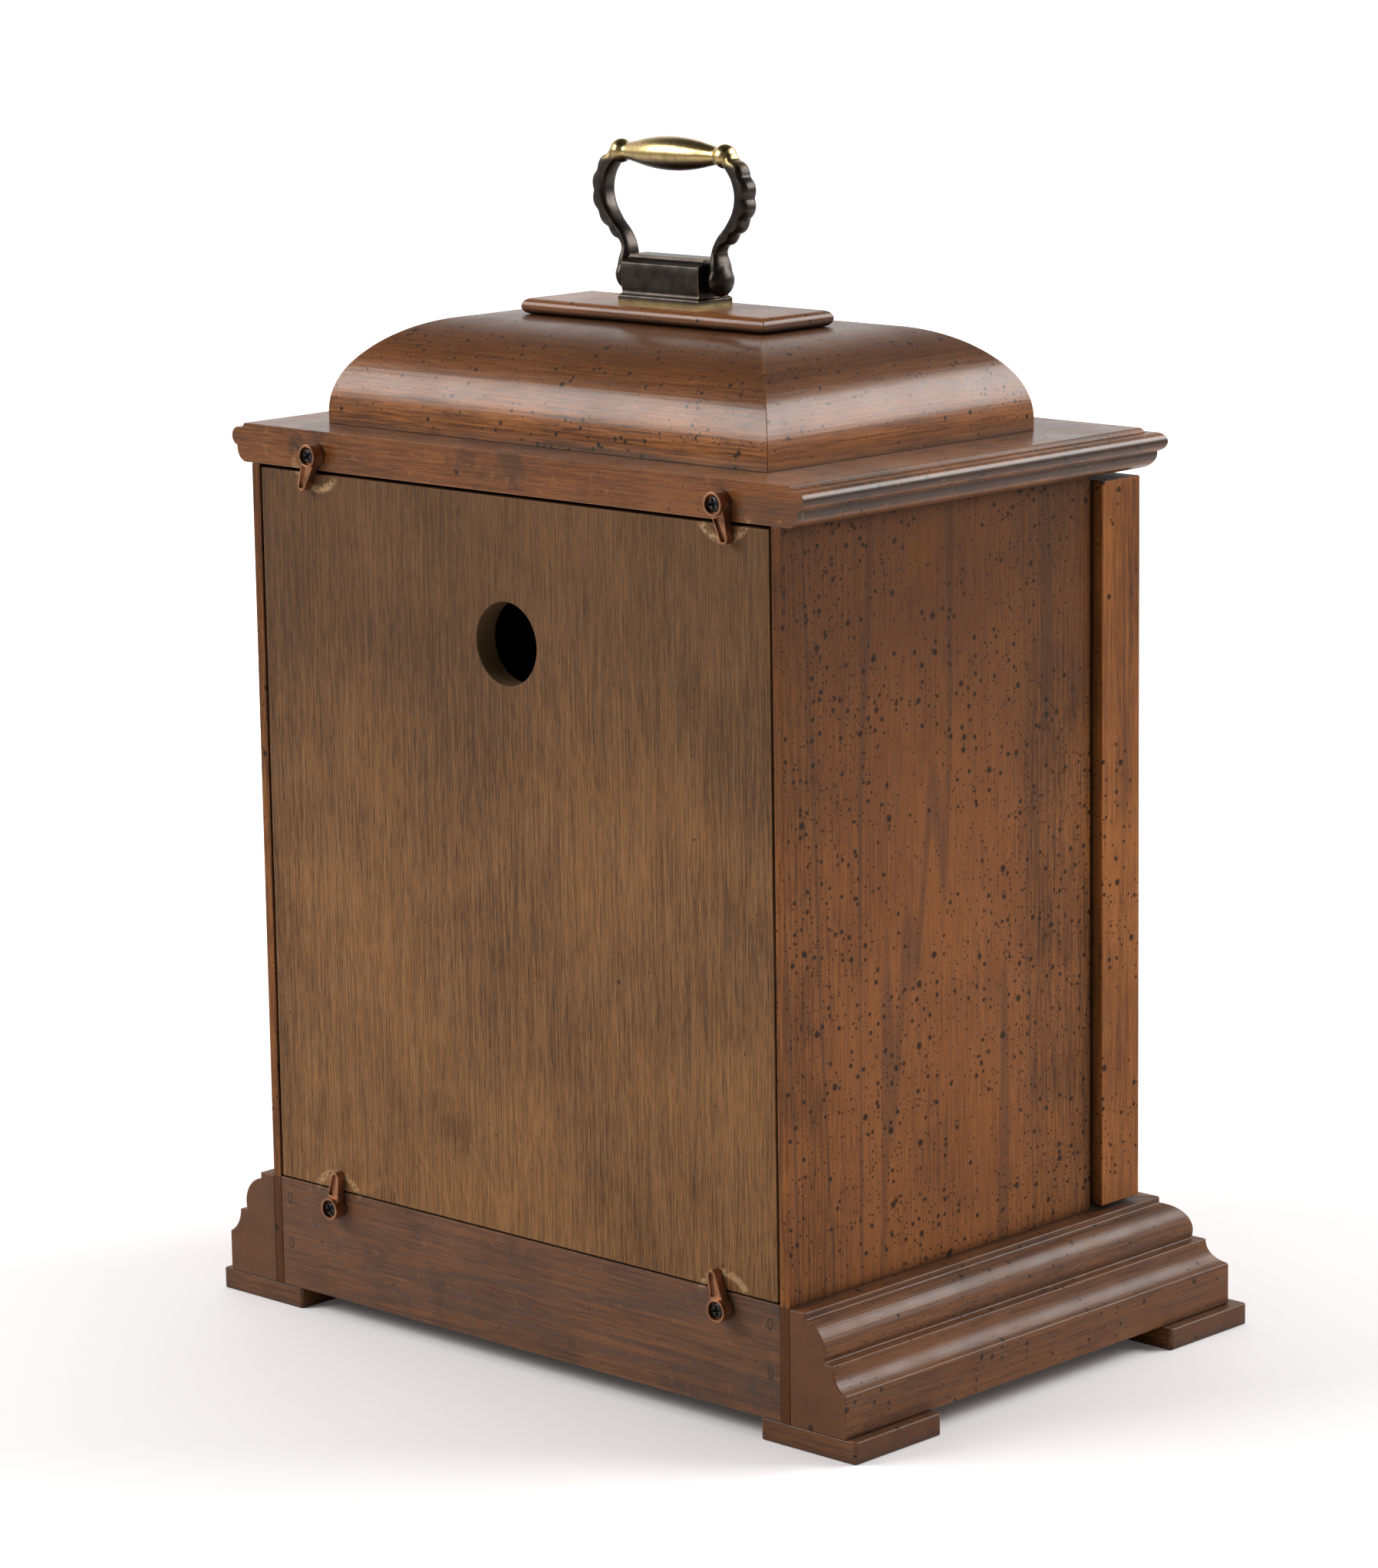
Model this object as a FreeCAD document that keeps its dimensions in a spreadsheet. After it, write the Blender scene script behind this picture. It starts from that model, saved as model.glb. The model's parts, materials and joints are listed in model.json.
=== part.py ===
"""Bracket clock: moulded cherry case with a carrying handle, hinged glazed door and lift-off back.

Frame: millimetres, +Z up, the dial faces -Y, and X is to the right seen from the dial.
The origin is on the floor under the middle of the clock's bounding box.
"""
import FreeCAD, Part

import math
import os

import Sketcher

Vector = FreeCAD.Vector
Rotation = FreeCAD.Rotation
Placement = FreeCAD.Placement

DOC = FreeCAD.newDocument("BracketClock")

# Driving dimensions: alias, millimetres (or a count), meaning.
DIMENSIONS = [
    ("case_width", 250.0, "outside width across the two sides"),
    ("case_depth", 154.5, "depth of a side board"),
    ("case_top", 304.1, "height of the top edge of the sides"),
    ("side_board", 12.0, "thickness of a side board"),
    ("side_lip", 4.0, "lip of the side that hides the back panel's edge"),
    ("foot_thick", 7.6, "thickness of a foot"),
    ("foot_wide", 41.9, "width of a foot"),
    ("foot_long", 42.5, "depth of a foot"),
    ("foot_spread", 307.2, "width across the outer edges of the feet"),
    ("foot_depth", 206.2, "front of the front feet to the back of the case"),
    ("base_top", 47.1, "top of the base moulding"),
    ("base_front", 4.8, "front foot's reach in front of the base moulding"),
    ("face_top", 22.2, "top of the plain face of the base moulding"),
    ("face_out", 24.3, "reach of the plain face from the case"),
    ("cove_top", 31.4, "top of the cove of the base moulding"),
    ("cove_out", 18.7, "reach of the cove's top from the case"),
    ("cove_bend", 9.7, "radius of the cove"),
    ("ovolo_out", 15.2, "reach of the ovolo's foot from the case"),
    ("ovolo_top", 44.7, "top of the ovolo"),
    ("ovolo_bend", 10.1, "radius of the ovolo"),
    ("fillet_out", 7.1, "reach of the top fillet from the case"),
    ("top_thick", 13.7, "thickness of the top board"),
    ("top_front", 23.0, "top board's moulded nose in front of the side boards' front edge"),
    ("top_flat_out", 3.3, "reach of the top board's flat top from the case"),
    ("thumb_out", 3.6, "reach of the thumb moulding's foot"),
    ("thumb_top_out", 7.3, "reach of the thumb moulding's top"),
    ("thumb_high", 5.0, "height of the thumb moulding"),
    ("bead_bend", 3.3, "radius of the half-round bead of the top board"),
    ("bead_high", 6.5, "height of the bead"),
    ("dome_width", 207.4, "width of the domed top"),
    ("dome_depth", 133.0, "depth of the domed top"),
    ("dome_back", 17.5, "top board's ledge behind the dome"),
    ("dome_upright", 4.0, "upright start of the dome's profile"),
    ("dome_rise", 32.6, "rise of the dome's curve"),
    ("dome_reach", 38.0, "run of the dome's curve"),
    ("dome_side_bend", 28.0, "radius of the dome's lower curve"),
    ("dome_stock", 52.0, "width of each mitred dome piece"),
    ("plinth_width", 114.5, "width of the handle's plinth"),
    ("plinth_depth", 35.0, "depth of the handle's plinth"),
    ("plinth_thick", 5.5, "thickness of the handle's plinth"),
    ("block_width", 36.2, "width of the handle's bracket"),
    ("block_depth", 15.0, "depth of the bracket's block"),
    ("flange_depth", 17.2, "depth of the bracket's flange"),
    ("pivot_high", 9.4, "height of the handle's pivot over the plinth"),
    ("pivot_pin", 3.2, "diameter of the handle's pivot pins"),
    ("bulb_thick", 7.0, "thickness of the handle's end bulbs"),
    ("bulb_wide", 11.4, "width of the end bulbs"),
    ("bail_high", 41.8, "grip's axis over the pivot"),
    ("bail_band", 7.0, "width of the handle's cast arms"),
    ("grip_thick", 11.6, "largest diameter of the grip"),
    ("grip_neck", 6.2, "diameter of the grip's necks"),
    ("grip_half", 20.5, "half length of the grip"),
    ("panel_thick", 9.0, "thickness of the plywood back panel"),
    ("panel_width", 240.0, "width of the back panel"),
    ("panel_low", 48.1, "bottom edge of the back panel"),
    ("panel_top", 302.9, "top edge of the back panel"),
    ("panel_hole", 28.5, "diameter of the hole in the back panel"),
    ("hole_high", 253.3, "height of that hole"),
    ("rail_top", 47.6, "top of the rail below the back panel"),
    ("turn_stand", 5.0, "reach of a turn button behind the case"),
    ("turn_boss", 8.0, "diameter of a turn button's boss"),
    ("turn_arm", 13.5, "boss to tip of a turn button"),
    ("turn_arm_thick", 3.2, "thickness of a turn button's arm"),
    ("screw_shank", 3.0, "diameter of a turn button's screw"),
    ("screw_long", 17.0, "length of that screw"),
    ("running_gap", 0.3, "air between parts that pass each other"),
    ("shaft_gap", 0.05, "radial clearance of a shaft in its hole"),
    ("door_width", 256.8, "width of the door"),
    ("door_low", 48.6, "bottom edge of the door"),
    ("door_top", 301.7, "top edge of the door"),
    ("door_thick", 20.2, "thickness of the door frame"),
    ("door_gap", 2.2, "gap between the door and the sides"),
    ("frame_wide", 34.0, "width of the door frame"),
    ("frame_flat", 25.0, "flat face of the door frame"),
    ("glass_rebate", 6.0, "width of the glass rebate"),
    ("glass_setback", 10.2, "door's face to the glass"),
    ("glass_thick", 3.0, "thickness of the door glass"),
    ("leaf_thick", 1.0, "thickness of a hinge leaf"),
    ("leaf_tall", 38.0, "height of a hinge"),
    ("knuckle", 5.0, "diameter of a hinge knuckle"),
    ("hinge_pin", 2.4, "diameter of a hinge pin"),
    ("hinge_out", 6.0, "hinge axis outside the case side"),
    ("hinge_inset", 30.0, "door's edge to the middle of a hinge"),
    ("knob_inset", 22.0, "door's edge to the knob's axis"),
    ("knob_wide", 15.0, "diameter of the door knob"),
    ("knob_long", 16.0, "reach of the door knob"),
    ("knob_shaft", 5.0, "diameter of the knob's shaft"),
    ("tongue_long", 10.0, "reach of the latch tongue from the knob's axis"),
    ("tongue_thick", 3.0, "thickness of the latch tongue"),
    ("tongue_wide", 6.0, "width of the latch tongue"),
    ("dial_board_thick", 6.0, "thickness of the wooden dial board"),
    ("dial_board_setback", 7.9, "front edge of the sides to the dial board"),
    ("dial_size", 184.0, "width and height of the dial plate"),
    ("dial_thick", 1.5, "thickness of the dial plate"),
    ("dial_high", 175.0, "height of the dial's centre"),
    ("ring_outer", 168.0, "outer diameter of the chapter ring"),
    ("ring_inner", 118.0, "inner diameter of the chapter ring"),
    ("ring_thick", 1.2, "thickness of the chapter ring"),
    ("plate_width", 112.0, "width of the movement's plates"),
    ("plate_height", 120.0, "height of the movement's plates"),
    ("plate_thick", 2.5, "thickness of the movement's plates"),
    ("plate_space", 45.0, "space between the movement's plates"),
    ("dial_space", 13.0, "dial board's back to the movement's front plate"),
    ("post_wide", 7.0, "diameter of the movement's pillars and posts"),
    ("arbor_out", 27.0, "winding arbor's distance beside the centre"),
    ("arbor_down", 22.0, "winding arbor's distance below the centre"),
    ("arbor_wide", 5.0, "diameter of a winding arbor"),
    ("arbor_square", 3.4, "winding arbor's square"),
    ("barrel_wide", 44.0, "diameter of a spring barrel"),
    ("barrel_long", 36.0, "length of a spring barrel"),
    ("centre_wide", 3.0, "diameter of the centre arbor"),
    ("mesh_centre", 14.4, "centre arbor to the minute wheel's post"),
    ("hand_thick", 0.8, "thickness of the hands"),
    ("hour_reach", 46.0, "length of the hour hand"),
    ("minute_reach", 70.0, "length of the minute hand"),
    ("balance_wide", 22.0, "diameter of the balance wheel"),
    ("balance_high", 253.3, "height of the balance wheel"),
    ("rod_wide", 3.2, "diameter of a gong rod"),
    ("rod_long", 158.0, "length of a gong rod"),
]

SHEET = DOC.addObject("Spreadsheet::Sheet", "Sizes")


class Size:
    """A length that keeps the sheet formula it comes from, so that sums of it can be bound."""

    def __init__(self, value, formula):
        self.value = value
        self.formula = formula

    @staticmethod
    def of(other):
        return other if isinstance(other, Size) else Size(float(other), "%.10g" % other)

    def joined(self, sign, other, value):
        return Size(value, "(%s %s %s)" % (self.formula, sign, other.formula))

    def __add__(self, other):
        other = Size.of(other)
        return self.joined("+", other, self.value + other.value)

    def __sub__(self, other):
        other = Size.of(other)
        return self.joined("-", other, self.value - other.value)

    def __mul__(self, other):
        other = Size.of(other)
        return self.joined("*", other, self.value * other.value)

    def __truediv__(self, other):
        other = Size.of(other)
        return self.joined("/", other, self.value / other.value)

    def __radd__(self, other):
        return Size.of(other) + self

    def __rsub__(self, other):
        return Size.of(other) - self

    def __rmul__(self, other):
        return Size.of(other) * self

    def __neg__(self):
        return 0 - self


class Dimensions:
    """The sheet's cells as Size attributes."""


def fill_sheet():
    """Write the driving dimensions to the sheet and return them as Sizes."""
    cells = Dimensions()
    for row, (alias, value, meaning) in enumerate(DIMENSIONS, start=1):
        SHEET.set("A%d" % row, alias)
        SHEET.set("B%d" % row, "%g" % value)
        SHEET.set("C%d" % row, meaning)
        SHEET.setAlias("B%d" % row, alias)
        setattr(cells, alias, Size(value, "Sizes.%s" % alias))
    DOC.recompute()
    return cells


S = fill_sheet()

# Places worked out from the driving dimensions.
HALF = S.case_width / 2
BACK = (S.foot_depth - S.turn_stand) / 2
FRONT = BACK - S.case_depth
FEET_FRONT = BACK - S.foot_depth
BASE_FACE = FEET_FRONT + S.base_front
INNER = HALF - S.side_board
LIP = HALF - S.side_lip
TOP_OF_BOARD = S.case_top + S.top_thick
DOME_BACK = BACK - S.dome_back
DOME_FRONT = DOME_BACK - S.dome_depth
DOME_TOP = TOP_OF_BOARD + S.dome_upright + S.dome_rise
DOME_HALF = S.dome_width / 2
HANDLE_Y = (DOME_BACK + DOME_FRONT) / 2
PLINTH_TOP = DOME_TOP + S.plinth_thick
PIVOT_Z = PLINTH_TOP + S.pivot_high
DOOR_BACK = FRONT - S.door_gap
DOOR_FACE = DOOR_BACK - S.door_thick
DOOR_HALF = S.door_width / 2
HINGE_X = HALF + S.hinge_out
HINGE_Y = FRONT - S.door_gap / 2
KNOB_X = S.knob_inset - DOOR_HALF
BOARD_FRONT = FRONT + S.dial_board_setback
BOARD_BACK = BOARD_FRONT + S.dial_board_thick
DIAL_FRONT = BOARD_FRONT - S.dial_thick
RING_FRONT = DIAL_FRONT - S.ring_thick
FRONT_PLATE = BOARD_BACK + S.dial_space
BACK_PLATE = FRONT_PLATE + S.plate_thick + S.plate_space
PLATES_END = BACK_PLATE + S.plate_thick
ARBOR_Z = S.dial_high - S.arbor_down
MESH_Z = S.dial_high + S.mesh_centre

AXES = {"x": Vector(1, 0, 0), "y": Vector(0, 1, 0), "z": Vector(0, 0, 1)}
TURN_TO = {"x": Rotation(Vector(0, 1, 0), 90), "y": Rotation(Vector(1, 0, 0), -90), "z": Rotation()}
PLANES = {
    "XY": (Rotation(), "z"),
    "XZ": (Rotation(Vector(1, 0, 0), 90), "y"),
    "YZ": (Rotation(Vector(1, 1, 1), 120), "x"),
}

NODES = {}


def number(size):
    return Size.of(size).value


def bind(thing, path, size):
    """Bind a property or constraint of thing to a Size, or leave a plain number in it."""
    thing.setExpression(path, Size.of(size).formula)


def place(thing, x=0, y=0, z=0):
    """Bind the placement's base to three sizes."""
    for letter, size in zip("xyz", (x, y, z)):
        bind(thing, "Placement.Base.%s" % letter, size)


def node(name, shape):
    """Name the object that is the finished piece."""
    shape.Label = name
    NODES[name] = shape
    return shape


def box(name, x, y, z):
    """A block that spans the pairs x, y and z."""
    block = DOC.addObject("Part::Box", name)
    for side, span in (("Length", x), ("Width", y), ("Height", z)):
        bind(block, side, span[1] - span[0])
    place(block, x[0], y[0], z[0])
    return block


def place_along(thing, axis, start, across):
    """Lay a thing along an axis: start on it, across on the other two."""
    thing.Placement = Placement(Vector(), TURN_TO[axis])
    spot = dict(zip("xyz".replace(axis, ""), across))
    spot[axis] = start
    place(thing, **spot)


def rod(name, axis, diameter, span, across):
    """A cylinder along an axis: span is its two ends, across its place on the other two axes."""
    bar = DOC.addObject("Part::Cylinder", name)
    bind(bar, "Radius", Size.of(diameter) / 2)
    bind(bar, "Height", span[1] - span[0])
    place_along(bar, axis, span[0], across)
    return bar


def flatted(name, axis, diameter, span, across, sides=12):
    """A bar with flats, diameter over its corners."""
    bar = DOC.addObject("Part::Prism", name)
    bar.Polygon = sides
    bind(bar, "Circumradius", Size.of(diameter) / 2)
    bind(bar, "Height", span[1] - span[0])
    place_along(bar, axis, span[0], across)
    return bar


def bore(name, axis, diameter, span, across, sides=12):
    """A hole with flats that clears a round of the diameter."""
    return flatted(name, axis, Size.of(diameter) / math.cos(math.pi / sides), span, across, sides)


def turned(name, axis, rings, across, sides=16):
    """A turned form with flats, through rings: (place along the axis, radius)."""
    circles = []
    for along, radius in rings:
        turns = [2 * math.pi * side / sides for side in range(sides)]
        wide = number(radius)
        circles.append([Vector(wide * math.cos(angle), wide * math.sin(angle), number(along))
                        for angle in turns])
    outlines = [circles[0], circles[-1]]
    for first, second in zip(circles, circles[1:]):
        for side in range(sides):
            after = (side + 1) % sides
            outlines.append([first[side], first[after], second[after], second[side]])
    faces = [Part.Face(Part.makePolygon(points + points[:1])) for points in outlines]
    solid = Part.makeSolid(Part.makeShell(faces))
    if solid.Volume < 0:
        solid.reverse()
    form = DOC.addObject("Part::Feature", name)
    form.Shape = solid
    place_along(form, axis, 0, across)
    return form


def sketch_edges(sketch, corners):
    """Draw a closed outline in a sketch and bind its corners.

    A corner is (across, up) or (across, up, bend): bend is the radius of the edge that leaves
    the corner, positive where the edge turns left on its way to the next corner.
    """
    count = len(corners)
    starts = []
    for index, corner in enumerate(corners):
        nearby = corners[(index + 1) % count]
        a = Vector(number(corner[0]), number(corner[1]), 0)
        b = Vector(number(nearby[0]), number(nearby[1]), 0)
        if len(corner) == 2:
            edge = sketch.addGeometry(Part.LineSegment(a, b), False)
            starts.append((edge, 1, 2))
            continue
        bend = number(corner[2])
        chord = b.sub(a)
        left = Vector(-chord.y, chord.x, 0).normalize()
        rise = math.sqrt(max(bend * bend - chord.Length ** 2 / 4, 0.0))
        centre = a.add(chord * 0.5).add(left * (rise if bend > 0 else -rise))
        circle = Part.Circle(centre, Vector(0, 0, 1), abs(bend))
        angle_a = math.atan2(a.y - centre.y, a.x - centre.x)
        angle_b = math.atan2(b.y - centre.y, b.x - centre.x)
        if bend > 0:
            edge = sketch.addGeometry(Part.ArcOfCircle(circle, angle_a, angle_b), False)
            starts.append((edge, 1, 2))
        else:
            edge = sketch.addGeometry(Part.ArcOfCircle(circle, angle_b, angle_a), False)
            starts.append((edge, 2, 1))
        radius = sketch.addConstraint(Sketcher.Constraint("Radius", edge, abs(bend)))
        bend_size = Size.of(corner[2])
        bind(sketch, "Constraints[%d]" % radius, bend_size if bend > 0 else -bend_size)
    for index, corner in enumerate(corners):
        edge, start, end = starts[index]
        after, after_start, _ = starts[(index + 1) % count]
        sketch.addConstraint(Sketcher.Constraint("Coincident", edge, end, after, after_start))
        for kind, size in (("DistanceX", corner[0]), ("DistanceY", corner[1])):
            at = Sketcher.Constraint(kind, -1, 1, edge, start, number(size))
            held = sketch.addConstraint(at)
            bind(sketch, "Constraints[%d]" % held, size)


def outline(name, plane, corners, level=0):
    """A free sketch of a closed outline, level along the axis that its plane is square to."""
    sketch = DOC.addObject("Sketcher::SketchObject", name + "_outline")
    turn, axis = PLANES[plane]
    sketch.Placement = Placement(Vector(), turn)
    sketch_edges(sketch, corners)
    place(sketch, **{axis: level})
    return sketch


def prism(name, plane, corners, span):
    """An outline drawn out along the axis that its plane is square to."""
    solid = DOC.addObject("Part::Extrusion", name)
    solid.Base = outline(name, plane, corners, span[0])
    solid.DirMode = "Custom"
    solid.Dir = AXES[PLANES[plane][1]]
    solid.Solid = True
    bind(solid, "LengthFwd", span[1] - span[0])
    return solid


def cut(name, whole, *tools):
    """The whole less the tools."""
    result = whole
    for index, tool in enumerate(tools):
        after = DOC.addObject("Part::Cut", name if index == len(tools) - 1 else name + "_cut")
        after.Base = result
        after.Tool = tool
        result = after
    return result


def fuse(name, *pieces):
    solid = DOC.addObject("Part::MultiFuse", name)
    solid.Shapes = list(pieces)
    solid.Refine = True
    return solid


def common(name, *pieces):
    solid = DOC.addObject("Part::MultiCommon", name)
    solid.Shapes = list(pieces)
    return solid


def group(name, pieces):
    """Like pieces that share a node but stay separate solids."""
    bunch = DOC.addObject("Part::Compound", name)
    bunch.Links = list(pieces)
    return bunch


def rectangle(x0, y0, x1, y1):
    return [(x0, y0), (x1, y0), (x1, y1), (x0, y1)]


def backwards(corners):
    """The same run of corners from its end to its start."""
    turned = []
    for index in range(len(corners) - 1, -1, -1):
        bend = tuple(-size for size in corners[index - 1][2:]) if index > 0 else ()
        turned.append(corners[index][:2] + bend)
    return turned


def mirror_of(corners):
    return [(-corner[0], corner[1]) + tuple(-size for size in corner[2:]) for corner in corners]


def mirrored_pair(corners):
    """Corners on the right, from bottom to top, and their mirror images on the left."""
    return corners + backwards(mirror_of(corners))


# ---------------------------------------------------------------- feet and base

def make_feet():
    outer = S.foot_spread / 2
    inner = outer - S.foot_wide
    spans = {"left": (-outer, -inner), "right": (inner, outer)}
    depths = {"front": (FEET_FRONT, FEET_FRONT + S.foot_long), "rear": (BACK - S.foot_long, BACK)}
    for side, across in spans.items():
        for end, along in depths.items():
            name = "foot_%s_%s" % (end, side)
            slab = box(name + "_slab", across, along, (0, S.foot_thick))
            DOC.recompute()
            eased = DOC.addObject("Part::Chamfer", name)
            eased.Base = slab
            upright = [place for place, edge in enumerate(slab.Shape.Edges, start=1)
                       if abs(edge.Vertexes[0].Z - edge.Vertexes[-1].Z) > 1]
            eased.Edges = [(place, 0.8, 0.8) for place in upright]
            node(name, eased)


def base_section(face, way):
    """Base moulding section: face is the case surface, way is +1 or -1 for outwards."""
    def out(reach):
        return face + reach * way
    return [
        (face, S.foot_thick),
        (out(S.face_out), S.foot_thick),
        (out(S.face_out), S.face_top, -way * S.cove_bend),
        (out(S.cove_out), S.cove_top),
        (out(S.ovolo_out), S.cove_top + 0.4),
        (out(S.ovolo_out), S.cove_top + 1.0, way * S.ovolo_bend),
        (out(S.fillet_out), S.ovolo_top),
        (out(S.fillet_out), S.base_top),
        (face, S.base_top),
    ]


def make_base_mouldings():
    inner_y = BASE_FACE + S.face_out
    outer_x = HALF + S.face_out
    length = (-outer_x, outer_x)
    bar = prism("base_front_bar", "YZ", base_section(inner_y, -1), length)
    plan = prism("base_front_plan", "XY", [
        (-outer_x, BASE_FACE), (outer_x, BASE_FACE), (HALF, inner_y), (-HALF, inner_y)],
        (0, S.base_top + 1))
    node("base_moulding_front", common("base_moulding_front", bar, plan))
    for side, way in (("left", -1), ("right", 1)):
        bar = prism("base_%s_bar" % side, "XZ", base_section(way * HALF, way), (BASE_FACE, BACK))
        plan = prism("base_%s_plan" % side, "XY", [
            (way * outer_x, BASE_FACE), (way * outer_x, BACK),
            (way * HALF, BACK), (way * HALF, inner_y)], (0, S.base_top + 1))
        name = "base_moulding_%s" % side
        node(name, common(name, bar, plan))


def make_base_boards():
    """The notched floor board and the rail under the back panel."""
    front = BASE_FACE + S.face_out
    rail_front = BACK - S.panel_thick
    floor_low = S.base_top - 19
    plan = [(-HALF, front), (HALF, front), (HALF, FRONT), (INNER, FRONT), (INNER, rail_front),
            (-INNER, rail_front), (-INNER, FRONT), (-HALF, FRONT)]
    board = prism("floor_board_blank", "XY", plan, (floor_low, S.base_top))
    node("floor_board", cut("floor_board", board, *pilot_holes("floor", TURN_SPOTS[2:])))
    rail = box("base_back_rail_board", (-LIP, LIP), (rail_front, BACK), (S.foot_thick, S.rail_top))
    node("base_back_rail", cut("base_back_rail", rail, *pilot_holes("rail", TURN_SPOTS[2:])))


def pilot_holes(owner, spots):
    """Holes for the turn buttons' screws."""
    return [flatted("%s_pilot_%d" % (owner, index), "y", S.screw_shank, (BACK - S.screw_long, BACK), spot)
            for index, spot in enumerate(spots)]


# ---------------------------------------------------------------- sides and top board

def make_sides():
    """Side boards, rebated for the back panel; the left one has the latch's mortise."""
    rebate = BACK - S.panel_thick
    for side, way in (("left", -1), ("right", 1)):
        section = [(way * INNER, FRONT), (way * HALF, FRONT), (way * HALF, BACK),
                   (way * LIP, BACK), (way * LIP, rebate), (way * INNER, rebate)]
        name = "case_side_%s" % side
        board = prism(name + "_board", "XY", section, (S.foot_thick, S.case_top))
        if side == "right":
            node(name, board)
            continue
        tongue_y = LATCH_FRONT
        mortise = box("latch_mortise", (-INNER - S.side_lip, 1 - INNER),
                      (tongue_y - S.running_gap * 2, tongue_y + S.tongue_thick + S.running_gap * 2),
                      (S.dial_high - 4.5, S.dial_high + 11))
        node(name, cut(name, board, mortise))


def make_top_board():
    """Solid top board: the moulded section across, met by the one from front to back."""
    flat = HALF + S.top_flat_out
    nose = FRONT - S.top_front
    low = S.case_top
    bead_low = low + S.thumb_high
    bead_top = bead_low + 0.6 + S.bead_high

    def edge(start, way):
        return [
            (start + way * (S.thumb_out - S.top_flat_out), low, way * S.thumb_high),
            (start + way * (S.thumb_top_out - S.top_flat_out), bead_low),
            (start + way * (S.thumb_top_out - S.top_flat_out), bead_low + 0.6, way * S.bead_bend),
            (start + way * (S.thumb_top_out - S.top_flat_out - 0.4), bead_top),
            (start + way * 1.2, bead_top),
            (start, TOP_OF_BOARD),
        ]
    across = prism("top_across", "XZ", mirrored_pair(edge(flat, 1)), (nose - 10, BACK))
    along = [(BACK, low), (BACK, TOP_OF_BOARD)] + backwards(edge(nose, -1))
    length = prism("top_along", "YZ", along, (-flat - 10, flat + 10))
    board = common("top_board_blank", across, length)
    node("top_board", cut("top_board", board, *pilot_holes("top", TURN_SPOTS[:2])))


# ---------------------------------------------------------------- domed top

def dome_section(edge, way):
    """Section of a dome piece: edge is its outer face, way is towards the middle.

    Two arcs that touch make the curve: the lower one starts upright, the upper one ends flat.
    """
    low = TOP_OF_BOARD
    side = S.dome_side_bend
    reach = S.dome_reach
    rise = S.dome_rise
    over = reach - side
    top_bend = (over * over + rise * rise - side * side) / (2 * (rise - side))
    share = side / (top_bend - side)
    meet_in = side - over * share
    meet_up = S.dome_upright - (rise - top_bend) * share
    return [
        (edge, low),
        (edge, low + S.dome_upright, -way * side),
        (edge + way * meet_in, low + meet_up, -way * top_bend),
        (edge + way * reach, DOME_TOP),
        (edge + way * S.dome_stock, DOME_TOP),
        (edge + way * S.dome_stock, low),
    ]


def make_dome():
    """Four mitred lengths with a quarter-round section; the plinth covers the well between."""
    low = TOP_OF_BOARD - 1
    high = DOME_TOP + 1
    stock = S.dome_stock
    for end, edge, way in (("front", DOME_FRONT, 1), ("back", DOME_BACK, -1)):
        bar = prism("dome_%s_bar" % end, "YZ", dome_section(edge, way), (-DOME_HALF, DOME_HALF))
        plan = prism("dome_%s_plan" % end, "XY", [
            (-DOME_HALF, edge), (DOME_HALF, edge),
            (DOME_HALF - stock, edge + way * stock), (stock - DOME_HALF, edge + way * stock)],
            (low, high))
        node("dome_%s" % end, common("dome_%s" % end, bar, plan))
    for side, edge, way in (("left", -DOME_HALF, 1), ("right", DOME_HALF, -1)):
        bar = prism("dome_%s_bar" % side, "XZ", dome_section(edge, way), (DOME_FRONT, DOME_BACK))
        plan = prism("dome_%s_plan" % side, "XY", [
            (edge, DOME_FRONT), (edge, DOME_BACK), (edge + way * stock, DOME_BACK - stock),
            (edge + way * stock, DOME_FRONT + stock)], (low, high))
        node("dome_%s" % side, common("dome_%s" % side, bar, plan))


# ---------------------------------------------------------------- handle

def make_plinth():
    """Handle's plinth with half-round edges, drilled for the bracket's bolts."""
    bend = S.plinth_thick / 2
    sections = []
    for plane, middle, half in (("XZ", Size.of(0), S.plinth_width / 2),
                                ("YZ", HANDLE_Y, S.plinth_depth / 2)):
        left = middle - half + bend
        right = middle + half - bend
        sections.append((plane, [
            (left, DOME_TOP), (right, DOME_TOP, bend), (right + bend, DOME_TOP + bend, bend),
            (right, PLINTH_TOP), (left, PLINTH_TOP, bend), (left - bend, DOME_TOP + bend, bend)]))
    depth = (HANDLE_Y - S.plinth_depth, HANDLE_Y + S.plinth_depth)
    across = prism("plinth_across", sections[0][0], sections[0][1], depth)
    along = prism("plinth_along", sections[1][0], sections[1][1], (-S.plinth_width, S.plinth_width))
    blank = common("plinth_blank", across, along)
    node("handle_plinth", cut("handle_plinth", blank, *bolt_shanks("plinth")))


BOLT_X = 10.0
BOLT_WIDE = 4.0


def bolt_shanks(owner):
    """The two bolt holes, from under the plinth up into the bracket."""
    return [flatted("%s_bolt_hole_%d" % (owner, index), "z", BOLT_WIDE,
                    (DOME_TOP - 1, PLINTH_TOP + 6), (way * BOLT_X, HANDLE_Y))
            for index, way in enumerate((-1, 1))]


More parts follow.
